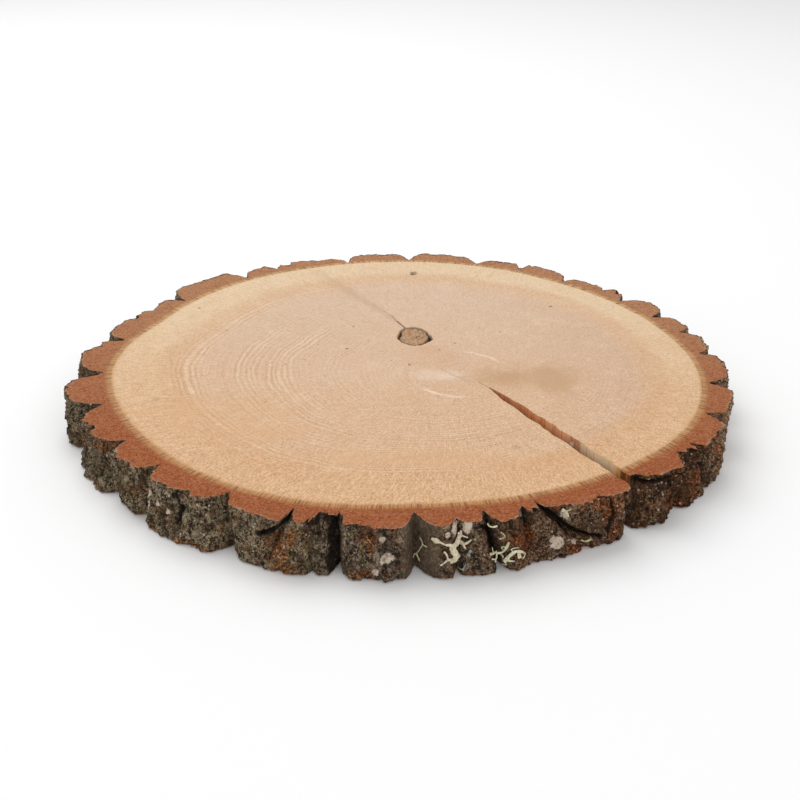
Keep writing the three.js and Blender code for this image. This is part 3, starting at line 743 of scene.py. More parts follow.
@dataclass(frozen=True)
class LichenFinish:
    """Dry lichen: pale, papery and matt."""

    name: str
    pale: tuple[float, float, float]
    shade: tuple[float, float, float]

    def material(self) -> bpy.types.Material:
        """The finish of one kind of lichen."""
        graph = new_graph(self.name, 0.15)
        where = graph.node("ShaderNodeTexCoord").outputs["Object"]
        place = graph.vector("MULTIPLY", where, (1 / MM, 1 / MM, 1 / MM))
        mottle = graph.noise(place, 0.7, 3, 0.6)
        pits = graph.noise(place, 2.4, 2, 0.6)
        colour = graph.mix(graph.span(mottle, 0.35, 0.65), self.shade, self.pale)
        colour = graph.mix(graph.span(pits, 0.42, 0.28, 0.0, 0.6), colour, tuple(0.45 * part for part in self.shade))
        height = graph.math("ADD", graph.math("MULTIPLY", mottle, 0.6), graph.math("MULTIPLY", pits, 0.5))
        graph.finish(colour, graph.span(pits, 0.3, 0.7, 0.8, 0.92), height, 0.0003, 0.7)
        return graph.material


def bend_strip(
    bm: bmesh.types.BMesh, outline: Sequence[tuple[float, float]], closed: bool, columns: int
) -> None:
    """Draws a section out to a straight strip, with one column of faces for each step round the trunk.

    Args:
        bm: The mesh to add to.
        outline: The section as (how far out, height), both from 0 to 1.
        closed: Whether the section's last point joins its first.
        columns: The number of steps round the trunk.
    """
    chain = [bm.verts.new((out, 0, height)) for out, height in outline]
    ends = [*chain[1:], chain[0]] if closed else chain[1:]
    edges = [bm.edges.new(pair) for pair in zip(chain, ends)]
    drawn = bmesh.ops.extrude_edge_only(bm, edges=edges)["geom"]
    far = [item for item in drawn if isinstance(item, bmesh.types.BMVert)]
    bmesh.ops.translate(bm, vec=(0, TURN, 0), verts=far)
    rails = [edge for edge in bm.edges if abs(edge.verts[0].co.y - edge.verts[1].co.y) > 1]
    bmesh.ops.subdivide_edges(bm, edges=rails, cuts=columns - 1, use_grid_fill=True)


def level_edges(edges: Iterable[bmesh.types.BMEdge]) -> list[bmesh.types.BMEdge]:
    """The edges that lie flat."""
    return [edge for edge in edges if abs(edge.verts[0].co.z - edge.verts[1].co.z) < 1e-6]


def strip_end(bm: bmesh.types.BMesh, side: Side) -> list[bmesh.types.BMEdge]:
    """The border edges at one end of a strip, which becomes one wall of the crack."""
    place = 0.0 if side is Side.RIGHT else TURN
    return [
        edge for edge in bm.edges
        if edge.is_boundary and all(abs(vertex.co.y - place) < 1e-4 for vertex in edge.verts)
    ]


@dataclass
class Wood:
    """The wood inside the bark: both sawn faces, the drying crack and the dead knot."""

    trunk: Trunk
    columns: int = 360
    top_rows: int = 70
    bottom_rows: int = 21
    wall_rows: int = 34
    row_cuts: int = 3
    knot_centre: tuple[float, float] = (3.8, 28.0)
    hole: tuple[float, float] = (3.8, 124.3)
    # The gap round the knot: angle, distance from the knot's middle, width and depth.
    knot_gap: tuple[tuple[float, float, float, float], ...] = (
        (0, 9.0, 1.1, 3.2), (25, 8.2, 0.6, 1.6), (55, 9.9, 0.65, 1.6), (75, 11.6, 0.85, 2.2), (95, 12.8, 0.75, 1.6),
        (112, 12.4, 0.55, 0.9), (130, 10.8, 0.8, 1.4), (150, 8.6, 1.0, 2.0), (168, 8.2, 1.0, 2.0),
        (190, 8.6, 0.7, 1.4), (215, 9.2, 0.5, 1.1), (240, 10.2, 0.45, 1.0), (270, 11.7, 0.6, 1.4),
        (292, 11.0, 0.8, 2.2), (315, 9.8, 1.1, 4.5), (340, 9.6, 1.4, 5.5),
    )

    def build(self) -> bpy.types.Object:
        """Builds the wood.

        Returns:
            The finished object.
        """
        bm = bmesh.new()
        top = [(i / self.top_rows, 1.0) for i in range(self.top_rows + 1)]
        bottom = [(i / self.bottom_rows, 0.0) for i in range(self.bottom_rows, -1, -1)]
        bend_strip(bm, top + bottom, False, self.columns)
        self.close_crack(bm)
        self.to_trunk(bm)
        self.refine(bm, self.knot_centre, 17.0, 3)
        self.refine(bm, self.hole, 5.0, 3)
        self.carve(bm)
        bmesh.ops.triangulate(bm, faces=[face for face in bm.faces if len(face.verts) > 4])
        return finish_piece("wood", bm, self.trunk)

    def close_crack(self, bm: bmesh.types.BMesh) -> None:
        """Closes both ends of the strip with walls that are fine enough to carve."""
        wanted = self.top_rows * self.row_cuts
        seam = bm.verts.layers.int.new("seam")
        for side in Side:
            level = level_edges(strip_end(bm, side))
            upper = [edge for edge in level if edge.verts[0].co.z > 0.5]
            lower = [edge for edge in level if edge.verts[0].co.z < 0.5]
            bmesh.ops.subdivide_edges(bm, edges=upper, cuts=self.row_cuts - 1)
            bmesh.ops.subdivide_edges(bm, edges=lower, cuts=wanted // self.bottom_rows - 1)
            walls = bmesh.ops.bridge_loops(bm, edges=level_edges(strip_end(bm, side)))["faces"]
            upright = {edge for face in walls for edge in face.edges} - set(level_edges(bm.edges))
            bmesh.ops.subdivide_edges(bm, edges=list(upright), cuts=self.wall_rows - 1, use_grid_fill=True)
            place = 0.0 if side is Side.RIGHT else TURN
            for vertex in bm.verts:
                if abs(vertex.co.y - place) < 1e-4:
                    vertex[seam] = side.value

    def to_trunk(self, bm: bmesh.types.BMesh) -> None:
        """Bends the strip round the crack's tip, and fits it to the trunk, still uncracked."""
        tip = Vector(self.trunk.tip)
        heading = math.atan2(self.trunk.along.y, self.trunk.along.x)
        for vertex in bm.verts:
            share, turn, height = vertex.co
            angle = heading + turn
            line = Vector((math.cos(angle), math.sin(angle)))
            lean = tip.dot(line)
            radius = 144.0
            for _ in range(3):
                length = -lean + math.sqrt(lean * lean - tip.length_squared + radius * radius)
                rim = tip + line * length
                radius = self.trunk.wood_radius(math.atan2(rim.y, rim.x))
            point = tip + line * length * share
            vertex.co = (point.x, point.y, height * self.trunk.thickness)
        pole = [vertex for vertex in bm.verts if (vertex.co.xy - tip).length < 1e-3]
        bmesh.ops.remove_doubles(bm, verts=pole, dist=1e-4)

    def refine(self, bm: bmesh.types.BMesh, middle: tuple[float, float], reach: float, cuts: int) -> None:
        """Makes the top face finer round a point."""
        spot = Vector((*middle, self.trunk.thickness))
        near = [face for face in bm.faces if (face.calc_center_median() - spot).length < reach]
        edges = {edge for face in near for edge in face.edges}
        bmesh.ops.subdivide_edges(bm, edges=list(edges), cuts=cuts, use_grid_fill=True)

    def gap_at(self, x: float, y: float) -> tuple[float, float, float]:
        """Where a point lies against the gap round the knot.

        Returns:
            Its distance outside the gap's middle line in gap widths, the depth there, and the distance in mm.
        """
        dx, dy = x - self.knot_centre[0], y - self.knot_centre[1]
        degrees = math.degrees(math.atan2(dy, dx))
        at = [row[0] for row in self.knot_gap]
        line, width, depth = (
            float(np.interp(degrees, at, [row[column] for row in self.knot_gap], period=360))
            for column in (1, 2, 3)
        )
        off = math.hypot(dx, dy) - line + width / 2 + 0.35 * wave(x, y, 3.0, 1.6)
        return off / width, depth, off

    def wall_relief(self, far: float, height: float, side: Side) -> float:
        """How far a crack wall stands into the crack, from its steps and fibres."""
        strip = far / 4.2 + 0.5 * wave(far, height, 1, 14)
        step = noise.cell(Vector((strip, 0.5, 3.5 * side.value)))
        after = noise.cell(Vector((strip + 1, 0.5, 3.5 * side.value)))
        ease = smooth_step(strip - math.floor(strip), 0.75, 1.0)
        fibres = wave(far, height * 0.05, 7.0 * side.value, 0.9)
        slow = wave(far, height * 0.3, 2.0 * side.value, 9)
        fade = smooth_step(far, 3, 20)
        return fade * (0.26 * (step + (after - step) * ease - 0.5) + 0.10 * fibres + 0.12 * slow)

    def carve(self, bm: bmesh.types.BMesh) -> None:
        """Opens the crack, carves the relief, and writes the attributes that the finish reads."""
        trunk = self.trunk
        seam = bm.verts.layers.int["seam"]
        names = ("growth", "wall", "knot", "knot_ring_and_gap_shade")
        growth, wall, knot, knot_ring_and_gap_shade = (bm.verts.layers.float.new(name) for name in names)
        tip = Vector(trunk.tip)
        for vertex in bm.verts:
            x, y, z = vertex.co
            upper = z > trunk.thickness - 1e-4
            level = upper or z < 1e-4
            vertex[growth] = trunk.growth(x, y)
            offset = Vector((x, y)) - tip
            far, out = offset.dot(trunk.along), offset.dot(trunk.across)
            side = Side(vertex[seam]) if vertex[seam] else (Side.RIGHT if out > 0 else Side.LEFT)
            new_x, new_y = trunk.opened(x, y, side)
            if vertex[seam]:
                push = -side.value * self.wall_relief(far, z, side)
                new_x += push * trunk.across.x
                new_y += push * trunk.across.y
                vertex[wall] = 0.0 if level else 1.0
            if level:
                sign = 1 if upper else -1
                drop = 0.10 + 0.10 * wave(x, y, 5.0 * sign, 38) + 0.05 * wave(x, y, 2.0 * sign, 6)
                drop += 0.04 * math.sin(0.9 * x + 0.35 * y + 3 * wave(x, y, 0, 60))
                drop += 0.25 * smooth_step(vertex[growth], 0.985, 1.0)
                if upper:
                    drop += self.knot_drop(vertex, x, y, knot, knot_ring_and_gap_shade)
                    off_hole = math.hypot((x - self.hole[0]) * 1.2, (y - self.hole[1]) * 0.75)
                    drop += 2.6 * smooth_step(2.6 - off_hole - 0.5 * wave(x, y, 6, 1.5), 0, 1.2)
                z -= sign * max(drop, 0.0)
            vertex.co = (new_x, new_y, z)
        bm.verts.layers.int.remove(seam)

    def knot_drop(self, vertex: bmesh.types.BMVert, x: float, y: float, knot: object, knot_ring_and_gap_shade: object) -> float:
        """Carves the gap round the knot and marks the knot.

        Returns:
            How far the surface lies below the face there.
        """
        if math.hypot(x - self.knot_centre[0], y - self.knot_centre[1]) > 17:
            return 0.0
        place, depth, off = self.gap_at(x, y)
        vertex[knot] = smooth_step(-off, -0.2, 0.4)
        shown = smooth_step(1.15 - abs(place), 0.0, 0.7)
        # The dark ring is partly the knot's own bark ring and partly painted shade, darker where the gap is deeper.
        vertex[knot_ring_and_gap_shade] = shown * min(1.0, 0.5 + depth / 3.5)
        trench = depth * smooth_step(1.1 - abs(place), 0.0, 0.75)
        split = 0.6 * smooth_step(0.16 - abs(wave(x, y * 0.5, 8.0, 3.4)), 0.0, 0.14)
        swell = 0.25 * wave(x, y, 4.0, 3.0) + 0.2
        return trench + vertex[knot] * (split + swell)

    def dress(self, piece: bpy.types.Object, sawn: SawnFace) -> None:
        """Gives the wood its finish."""
        piece.data.materials.append(sawn.material())


@dataclass(frozen=True)
class Patch:
    """A patch on the bark: its angle in degrees, distance below the top face, and reach along and down."""

    at: float
    below: float
    wide: float
    tall: float

    def cover(self, degrees: float, below: float) -> float:
        """How strongly the patch covers a place, from 1 in its middle to 0."""
        along = math.radians((degrees - self.at + 180) % 360 - 180) * 158 / self.wide
        if abs(along) > 2:
            return 0.0
        return max(0.0, 1.0 - 0.5 * math.hypot(along, (below - self.below) / self.tall))


def patches(*rows: tuple[float, float, float, float]) -> tuple[Patch, ...]:
    """Makes patches from rows of angle, distance below the top face, and reach along and down."""
    return tuple(Patch(*row) for row in rows)


@dataclass
class Bark:
    """The ring of bark: furrowed plates outside, sawn flat above and below."""

    trunk: Trunk
    solid: BVHTree
    columns: int = 1432
    rim_rows: int = 8
    wall_rows: int = 44
    # Narrow slots, darkened further with painted shade: width, depth, and the line through (angle, distance below the
    # top face).
    slots: tuple[tuple[float, float, tuple[tuple[float, float], ...]], ...] = (
        (1.5, 3.8, ((252.8, 2.2), (251.9, 4), (250.8, 6.4), (249, 8.8))),
        (1.3, 4.2, ((290.6, 1.2), (291.6, 2.4), (293.0, 5.5), (294.6, 10), (296.6, 14.5), (298.8, 17.5), (300.6, 19))),
        (1.2, 2.0, ((287.9, 3), (286.6, 6.2), (285.6, 8))),
        (1.9, 3.4, ((259.5, 3), (259.0, 8), (259.4, 14), (258.9, 19), (259.7, 25))),
        (1.1, 3.0, ((309.6, 2.6), (311.2, 3.4), (313.2, 2.6), (315.4, 3.2), (317.6, 4.2), (319.5, 6))),
        (1.1, 2.6, ((314.6, 5), (315.4, 11), (314.8, 19))),
        (1.2, 2.6, ((281.0, 3), (282.3, 8), (282.6, 13), (283.0, 16))),
        (1.1, 2.4, ((219.4, 4), (221.0, 9), (220.6, 15))),
        (1.1, 2.2, ((234.2, 3), (235.2, 9), (234.4, 16))),
        (1.1, 2.2, ((301.8, 2), (302.6, 9), (301.6, 17))),
        (1.0, 2.2, ((323.8, -1), (324.6, 6), (326.2, 12))),
        (1.1, 2.2, ((206.6, 5), (208.0, 12), (207.2, 18))),
        (1.0, 2.0, ((193.4, 3), (194.2, 11), (193.6, 19))),
        (1.0, 2.0, ((178.4, 4), (177.6, 12), (178.6, 20))),
        (1.1, 2.2, ((21.4, 3), (22.6, 10), (21.8, 18))),
        (1.1, 2.2, ((64.4, 6), (63.0, 13), (64.2, 25))),
        (1.1, 2.2, ((104.4, -1), (103.6, 7), (104.8, 15))),
        (1.1, 2.2, ((146.4, 5), (145.4, 13), (147.0, 20))),
    )
    # Places where the sawn edge has broken away: angle, half width, height and depth. None goes
    # further in than the radius where chips stop.
    chip_stop: float = 152.6
    chips: tuple[tuple[float, float, float, float], ...] = (
        (258.2, 7.6, 4.4, 6.0), (259.6, 3.0, 9.0, 6.0), (282.0, 1.8, 3.0, 2.6), (287.6, 2.6, 4.0, 4.0), (276.8, 2.6, 2.0, 1.8),
        (289.4, 1.8, 3.0, 3.0), (253.0, 2.6, 2.6, 2.4), (300.5, 3.0, 1.6, 1.5), (236.2, 2.6, 2.4, 2.2), (322.8, 2.4, 3.2, 3.0),
        (208.5, 2.4, 3.0, 2.4), (64, 3, 2.6, 2.2), (118, 3.4, 3, 2.6), (160, 2.6, 2.4, 2.4), (38, 2.6, 2.6, 2.4), (350, 2.6, 2.6, 2.2),
    )
    # Broken red-brown patches, moss and pale crusts.
    broken: tuple[Patch, ...] = patches(
        (252, 14, 5.5, 8), (252.5, 23, 6, 5), (254, 7, 3, 4), (287.5, 13, 6, 7), (285.6, 9, 4, 3), (302.2, 7, 4.2, 7),
        (300, 3, 5, 3), (297, 22, 7, 3.5), (303.2, 19, 3.4, 4.5), (314.6, 15, 2.6, 10), (323.4, 14, 5, 8), (265, 8, 3, 6),
        (264, 22, 5, 3), (316, 3, 4, 2.5), (213, 4, 7, 3), (207, 8, 5, 3), (236, 24.5, 12, 2.2), (277, 24.5, 9, 2),
        (330, 6, 5, 5), (341, 12, 5, 8), (20, 10, 6, 9), (36, 16, 7, 6), (60, 12, 8, 7), (95, 9, 7, 6),
        (118, 16, 8, 7), (137, 10, 9, 7), (165, 14, 6, 8), (186, 8, 4, 6), (318, 21, 6, 4),
    )
    moss: tuple[Patch, ...] = patches(
        (262.2, 10, 8, 12), (256.6, 12, 9, 12), (221.5, 9, 6, 8), (237, 6, 3, 3), (227, 21, 4, 4), (198, 8, 9, 8), (210, 14, 9, 8),
        (337, 16, 6, 8), (10, 14, 9, 8), (75, 14, 12, 9), (110, 12, 9, 8), (150, 12, 9, 8), (182, 14, 6, 8), (243, 4, 5, 4),
    )
    crusts: tuple[Patch, ...] = patches(
        (228, 8, 2.3, 2.6), (230.8, 10, 1.8, 1.8), (227.6, 15.4, 2.2, 2.4), (267.4, 14.4, 2.9, 2.4), (265.8, 20.4, 1.3, 1.8),
        (266.8, 5.4, 1.3, 1.2), (278.9, 2.6, 2.0, 2.8), (277, 2.6, 1.4, 2.4), (292.9, 16.6, 3.2, 3.0), (294.0, 5.0, 1.8, 2.2),
        (276, 5, 1.2, 1.4), (287.5, 1.6, 1.4, 1.6), (233, 12, 1.2, 1.2), (243, 12, 1, 1.2), (296.4, 19.6, 1.6, 1.0),
        (25, 8, 2.0, 2.2), (62, 15, 2.2, 2.4), (98, 14, 1.6, 2), (136, 18, 2.4, 2.2), (170, 9, 1.8, 2),
        (345, 9, 2, 2.2),
    )
    # Wide furrow faces that are smooth and grey: from angle, to angle.
    smooth_faces: tuple[tuple[float, float], ...] = ((269.8, 274.8), (200, 202.5))

    def build(self) -> bpy.types.Object:
        """Builds the bark.

        Returns:
            The finished object.
        """
        bm = bmesh.new()
        outline = [(i / self.rim_rows, 1.0) for i in range(self.rim_rows)]
        outline += [(1.0, 1 - i / self.wall_rows) for i in range(self.wall_rows)]
        outline += [(1 - i / self.rim_rows, 0.0) for i in range(self.rim_rows + 1)]
        bend_strip(bm, outline, True, self.columns)
        self.cap_ends(bm)
        self.carve(bm)
        bmesh.ops.triangulate(bm, faces=[face for face in bm.faces if len(face.verts) > 4])
        return finish_piece("bark", bm, self.trunk, 60.0)

    def cap_ends(self, bm: bmesh.types.BMesh) -> None:
        """Closes both ends of the ring with a grid, where the crack cuts through the bark."""
        for side in Side:
            inner = [edge for edge in strip_end(bm, side) if abs(edge.verts[0].co.z - edge.verts[1].co.z) > 0.9]
            bmesh.ops.subdivide_edges(bm, edges=inner, cuts=self.wall_rows - 1)
            bmesh.ops.grid_fill(bm, edges=level_edges(strip_end(bm, side)))

    def outer_radius(self, angle: float, height: float) -> float:
        """The solid's radius at an angle, from outside, in millimetres."""
        z = min(max(height, 0.05), self.trunk.thickness - 0.05)
        line = Vector((math.cos(angle), math.sin(angle), 0))
        middle = Vector((*self.trunk.centre, z))
        hit, _, _, _ = self.solid.ray_cast((middle + line * 260) * MM, -line)
        if hit is None:
            raise RuntimeError(f"no bark at {math.degrees(angle):.1f} degrees")
        return (hit / MM - middle).length

    def slot_depth(self, degrees: float, below: float) -> float:
        """How deep the narrow slots are at a place."""
        deepest = 0.0
        for width, depth, line in self.slots:
            if abs((degrees - line[0][0] + 180) % 360 - 180) > 12:
                continue
            here = Vector((math.radians(degrees) * 158, below))
            points = [Vector((math.radians(at) * 158, down)) for at, down in line]
            for start, end in zip(points, points[1:]):
                run = end - start
                share = min(1.0, max(0.0, (here - start).dot(run) / run.length_squared))
                away = (here - start - run * share).length + 0.5 * wave(here.x, here.y, width, 1.8)
                deepest = max(deepest, depth * smooth_step(width - away, 0.0, 0.8 * width))
        return deepest

    def chip_depth(self, degrees: float, below: float) -> float:
        """How far the broken sawn edge is set back at a place."""
        deepest = 0.0
        for at, half, tall, depth in self.chips:
            along = abs(math.radians((degrees - at + 180) % 360 - 180) * 158) / half
            if along < 1.5:
                ragged = 0.45 * wave(degrees * 2.76, below, at, 1.7) + 0.35 * wave(degrees * 2.76, below, at, 0.8)
                across = smooth_step(1.0 - along + ragged, 0.0, 0.55)
                deepest = max(deepest, depth * across * smooth_step(1.0 - below / tall + ragged, 0.0, 0.4))
        return deepest

    def relief(self, x: float, y: float, z: float) -> tuple[float, float]:
        """The bark's own relief at a place on it.

        Returns:
            The height in millimetres, and how much painted shade the place gets as a hollow, from 0 to 1.
        """
        lumps = noise.fractal(Vector((x / 12, y / 12, z / 16)), 1.0, 2.0, 3)
        ridges = wave(x, y, z * 0.6, 4.0)
        cut = abs(wave(x + 40, y, z * 0.45, 9.0))
        shown = smooth_step(wave(x, y, z + 70, 17), -0.15, 0.25)
        fissure = shown * smooth_step(0.09 - cut, 0.0, 0.09)
        near, _ = noise.voronoi(Vector((x / 3.4, y / 3.4, z / 4.2)))
        flake = smooth_step(0.2 - (near[1] - near[0]), 0.0, 0.2)
        level = noise.cell(Vector((x / 4.5 + 0.5 * ridges, y / 4.5, z / 3.6 + 0.6 * lumps)))
        grain = wave(x, y, z * 0.9, 1.7)
        fine = wave(x, y, z, 0.95)
        height = 1.1 * lumps + 0.9 * ridges - 1.1 * fissure - 0.3 * flake
        height += 0.9 * (level - 0.5) + 0.7 * grain + 0.4 * fine
        deep = -grain - 0.6 * fine - 0.8 * ridges
        # Painted shade: fissures, flake edges and low places are marked as hollows to darken.
        cavity_shade = min(1.0, 0.5 * fissure + 0.2 * flake + 0.6 * smooth_step(deep, 0.15, 0.75))
        return height, cavity_shade

    def place(self, turned: float, unit: float, outer: float, side: Side) -> tuple[float, float, float]:
        """Places a point of the ring once the crack is open.

        Args:
            turned: The angle from the crack, from -pi to pi.
            unit: How far out the point is, from 0 at the wood to 1 outside.
            outer: The radius outside there.
            side: The side of the crack that the point is on.

        Returns:
            The point, and the radius that it had before the crack opened.
        """
        trunk = self.trunk
        seam = trunk.crack_angle(144.0)
        inner = trunk.wood_radius(seam + turned)
        radius = inner + unit * (outer - inner)
        skew = (trunk.crack_angle(radius) - seam) * math.exp(-abs(turned) * 6)
        angle = seam + turned + skew
        return *trunk.opened(radius * math.cos(angle), radius * math.sin(angle), side), radius

    def carve(self, bm: bmesh.types.BMesh) -> None:
        """Fits the ring to the solid, carves the plates and writes the attributes that the finish reads."""
        trunk = self.trunk
        names = ("growth", "wall", "sawn", "cavity_shade", "smooth_face", "broken", "moss", "crust")
        layer = {name: bm.verts.layers.float.new(name) for name in names}
        seam = trunk.crack_angle(144.0)
        tip = Vector(trunk.tip)
        step = TURN / self.columns
        carved: dict[tuple[int, float], float] = {}
        for vertex in sorted(bm.verts, key=lambda item: -item.co.x):
            unit, turn, height = vertex.co
            column = round(turn / step)
            turned = turn - TURN if turn > math.pi else turn
            side = Side.RIGHT if turn < math.pi else Side.LEFT
            z = height * trunk.thickness
            below = trunk.thickness - z
            on_rim = height > 1 - 1e-6 or height < 1e-6
            vertex[layer["sawn"]] = 0.0 if not on_rim else (1.0 if unit < 0.999 else 0.66)
            if unit > 0.999:
                near = math.exp(-abs(turned) * 6)
                lean = (trunk.crack_angle(152.0) - seam) * near
                x, y = trunk.opened(152 * math.cos(seam + turned + lean), 152 * math.sin(seam + turned + lean), side)
                angle = math.atan2(y, x) + side.value * 0.004 * near
                outer = self.outer_radius(angle, z)
                if side is Side.RIGHT:
                    lip = trunk.wood_radius(angle) + 7.0 * smooth_step(0.034 - turned, 0.0, 0.012)
                    outer = max(outer, lip)
                outer += self.carve_plate(vertex, layer, x, y, z, math.degrees(angle) % 360, below, outer)
                outer = max(outer, trunk.wood_radius(angle) + 0.8)
                carved[column, height] = outer
            else:
                rows = (1.0, 0.0) if not on_rim else (height,)
                outer = sum(carved[column, row] for row in rows) / len(rows)
            x, y, radius = self.place(turned, unit, outer, side)
            inner = trunk.wood_radius(seam + turned)
            vertex[layer["growth"]] = 1 + (radius - inner) / 150
            if column in (0, self.columns) and not on_rim:
                vertex[layer["wall"]] = 1.0 - smooth_step(unit, 0.8, 1.0)
                far = (Vector((x, y)) - tip).dot(trunk.along)
                push = -side.value * 0.2 * wave(far, z * 0.1, side.value, 1.1) * smooth_step(unit, 0, 0.3)
                x, y = x + push * trunk.across.x, y + push * trunk.across.y
            if on_rim:
                sign = 1 if height > 0.5 else -1
                rough = 0.30 + 0.25 * wave(x, y, sign, 2.2) + 0.28 * wave(x, y, sign, 0.9) + 0.3 * wave(x, y, sign, 14)
                drop = 0.25 + smooth_step(unit, 0.0, 0.25) * rough * 0.8
                drop += smooth_step(unit, 0.8, 1.0) * (0.35 + 0.5 * wave(x, y, 3, 1.5))
                z -= sign * max(drop, 0.0)
            vertex.co = (x, y, z)

    def carve_plate(
        self, vertex: bmesh.types.BMVert, layer: dict, x: float, y: float, z: float, degrees: float,
        below: float, outer: float,
    ) -> float:
        """Carves one vertex of the weathered outside.

        Returns:
            How far out the vertex moves.
        """
        smooth = max(
            smooth_step(1.0 - abs(degrees - (start + end) / 2) / (end - start), 0.35, 0.6)
            for start, end in self.smooth_faces
        )
        height, cavity_shade = self.relief(x * outer / 152, y * outer / 152, z)
        slot = self.slot_depth(degrees, below)
        chip = min(self.chip_depth(degrees, below), max(0.0, outer - self.chip_stop))
        furrow = smooth_step(157.0 - outer, 0.0, 9.0)
        calm = 1 - 0.72 * smooth
        edge = min(z, below)
        nick = 0.9 * smooth_step(1.8 - edge, 0.0, 1.8) * max(0.0, wave(x, y, 9, 2.2) + 0.1)
        cover = {
            name: max(patch.cover(degrees, below) for patch in getattr(self, name)) for name in ("broken", "moss", "crusts")
        }
        # Painted shade: how much darkening comes from the relief's hollows, the furrows, the slots and the chips.
        # Smooth faces take less.
        cavity_shade_total = calm * cavity_shade * 0.8 + 0.72 * furrow * (1 - 0.85 * smooth) + min(1.0, slot / 2) + min(1.0, chip / 4)
        vertex[layer["cavity_shade"]] = min(1.0, cavity_shade_total)
        vertex[layer["smooth_face"]] = smooth
        vertex[layer["broken"]] = cover["broken"]
        vertex[layer["moss"]] = cover["moss"]
        vertex[layer["crust"]] = cover["crusts"]
        move = calm * height * (1 - 0.35 * furrow) + 0.18 * smooth * wave(x, y, z * 0.08, 1.4)
        return move - slot - chip - nick - 0.5 * smooth_step(cover["broken"], 0.4, 0.8)

    def dress(self, piece: bpy.types.Object, finish: BarkFinish) -> None:
        """Gives the bark its finish."""
        piece.data.materials.append(finish.material())


@dataclass(frozen=True)
class Branch:
    """One flat branch of a lichen, from its half width at the root to that at the end.

    Its line is a list of (angle, distance below the top face, stand-off).
    """

    root: float
    end: float
    line: tuple[tuple[float, float, float], ...]


@dataclass
class Lichen:
    """A lichen that holds on to the bark, made of joined branches."""

    name: str
    trunk: Trunk
    bark: BVHTree
    branches: tuple[Branch, ...]
    spread: float = 0.35
    sides: int = 10
    steps: int = 6
    flatness: float = 0.5
    cell: float = 0.2

    def point(self, angle: float, below: float, off: float, radius: float) -> Vector:
        """A place just off the bark's carved surface, in millimetres from the middle of the wood."""
        z = self.trunk.thickness - below
        reach = 0.0
        for turn in (-self.spread, -self.spread / 2, 0.0, self.spread / 2, self.spread):
            for lift in (-1.0, 0.0, 1.0):
                bearing = math.radians(angle + turn)
                line = Vector((math.cos(bearing), math.sin(bearing), 0))
                middle = Vector((*self.trunk.centre, min(max(z + lift, 0.6), self.trunk.thickness - 0.6)))
                hit, _, _, _ = self.bark.ray_cast((middle + line * 260) * MM, -line)
                reach = max(reach, (hit / MM - middle).length if hit else 0.0)
        bearing = math.radians(angle)
        return Vector((math.cos(bearing), math.sin(bearing), 0)) * (reach + 0.6 * off + 0.15 * radius) + Vector((0, 0, z))

    def spine(self, branch: Branch) -> list[Vector]:
        """A smooth line through a branch's points."""
        anchors = [self.point(angle, below, off, branch.root) for angle, below, off in branch.line]
        padded = [2 * anchors[0] - anchors[1], *anchors, 2 * anchors[-1] - anchors[-2]]
        line = []
        for a, b, c, d in zip(padded, padded[1:], padded[2:], padded[3:]):
            for step in range(self.steps):
                t = step / self.steps
                bend = (2 * a - 5 * b + 4 * c - d) * t * t + (3 * b - a - 3 * c + d) * t**3
                line.append(0.5 * (2 * b + (c - a) * t + bend))
        return [*line, anchors[-1]]

    def add_branch(self, bm: bmesh.types.BMesh, branch: Branch) -> None:
        """Draws a flat ring along a branch."""
        spine = self.spine(branch)
        face = None
        for index, place in enumerate(spine):
            share = index / (len(spine) - 1)
            before, after = spine[max(index - 1, 0)], spine[min(index + 1, len(spine) - 1)]
            ahead = (after - before).normalized()
            outward = Vector((place.x, place.y, 0)).normalized()
            wide = ahead.cross(outward).normalized()
            turn = Matrix((wide, ahead.cross(wide), ahead)).transposed().to_4x4()
            half = branch.root + (branch.end - branch.root) * share
            half *= 1 + 0.35 * wave(place.x, place.y, place.z, 1.4)
            size = Matrix.Diagonal((half, max(half * self.flatness, 0.28), 1, 1))
            ring = bmesh.ops.create_circle(
                bm, cap_ends=True, segments=self.sides, radius=1.0, matrix=Matrix.Translation(place) @ turn @ size
            )["verts"]
            made = ring[0].link_faces[0]
            if face is not None:
                loops = [*face.edges, *made.edges]
                bmesh.ops.delete(bm, geom=[face] if index > 1 else [], context="FACES_ONLY")
                bmesh.ops.bridge_loops(bm, edges=loops)
            face = made

    def build(self) -> bpy.types.Object:
        """Builds the lichen as one closed, softly swollen mesh.

        Returns:
            The finished object.
        """
        bm = bmesh.new()
        for branch in self.branches:
            self.add_branch(bm, branch)
        piece = finish_piece(self.name, bm, self.trunk)
        remesh = piece.modifiers.new("join", "REMESH")
        remesh.mode = "VOXEL"
        remesh.voxel_size = self.cell * MM
        remesh.use_smooth_shade = True
        calm = piece.modifiers.new("calm", "SMOOTH")
        calm.factor = 0.5
        calm.iterations = 2
        graph = bpy.context.evaluated_depsgraph_get()
        made = bpy.data.meshes.new_from_object(piece.evaluated_get(graph))
        piece.modifiers.clear()
        piece.data = made
        return piece

    def dress(self, piece: bpy.types.Object, finish: bpy.types.Material) -> None:
        """Gives the lichen its finish."""
        piece.data.materials.clear()
        piece.data.materials.append(finish)


CREAM = LichenFinish("cream lichen", (0.76, 0.67, 0.50), (0.50, 0.43, 0.29))
GREEN = LichenFinish("greenish lichen", (0.60, 0.58, 0.36), (0.36, 0.35, 0.17))
WHITE = LichenFinish("pale lichen", (0.80, 0.75, 0.56), (0.46, 0.44, 0.26))
GREY = LichenFinish("blue-grey lichen", (0.34, 0.37, 0.31), (0.16, 0.18, 0.15))

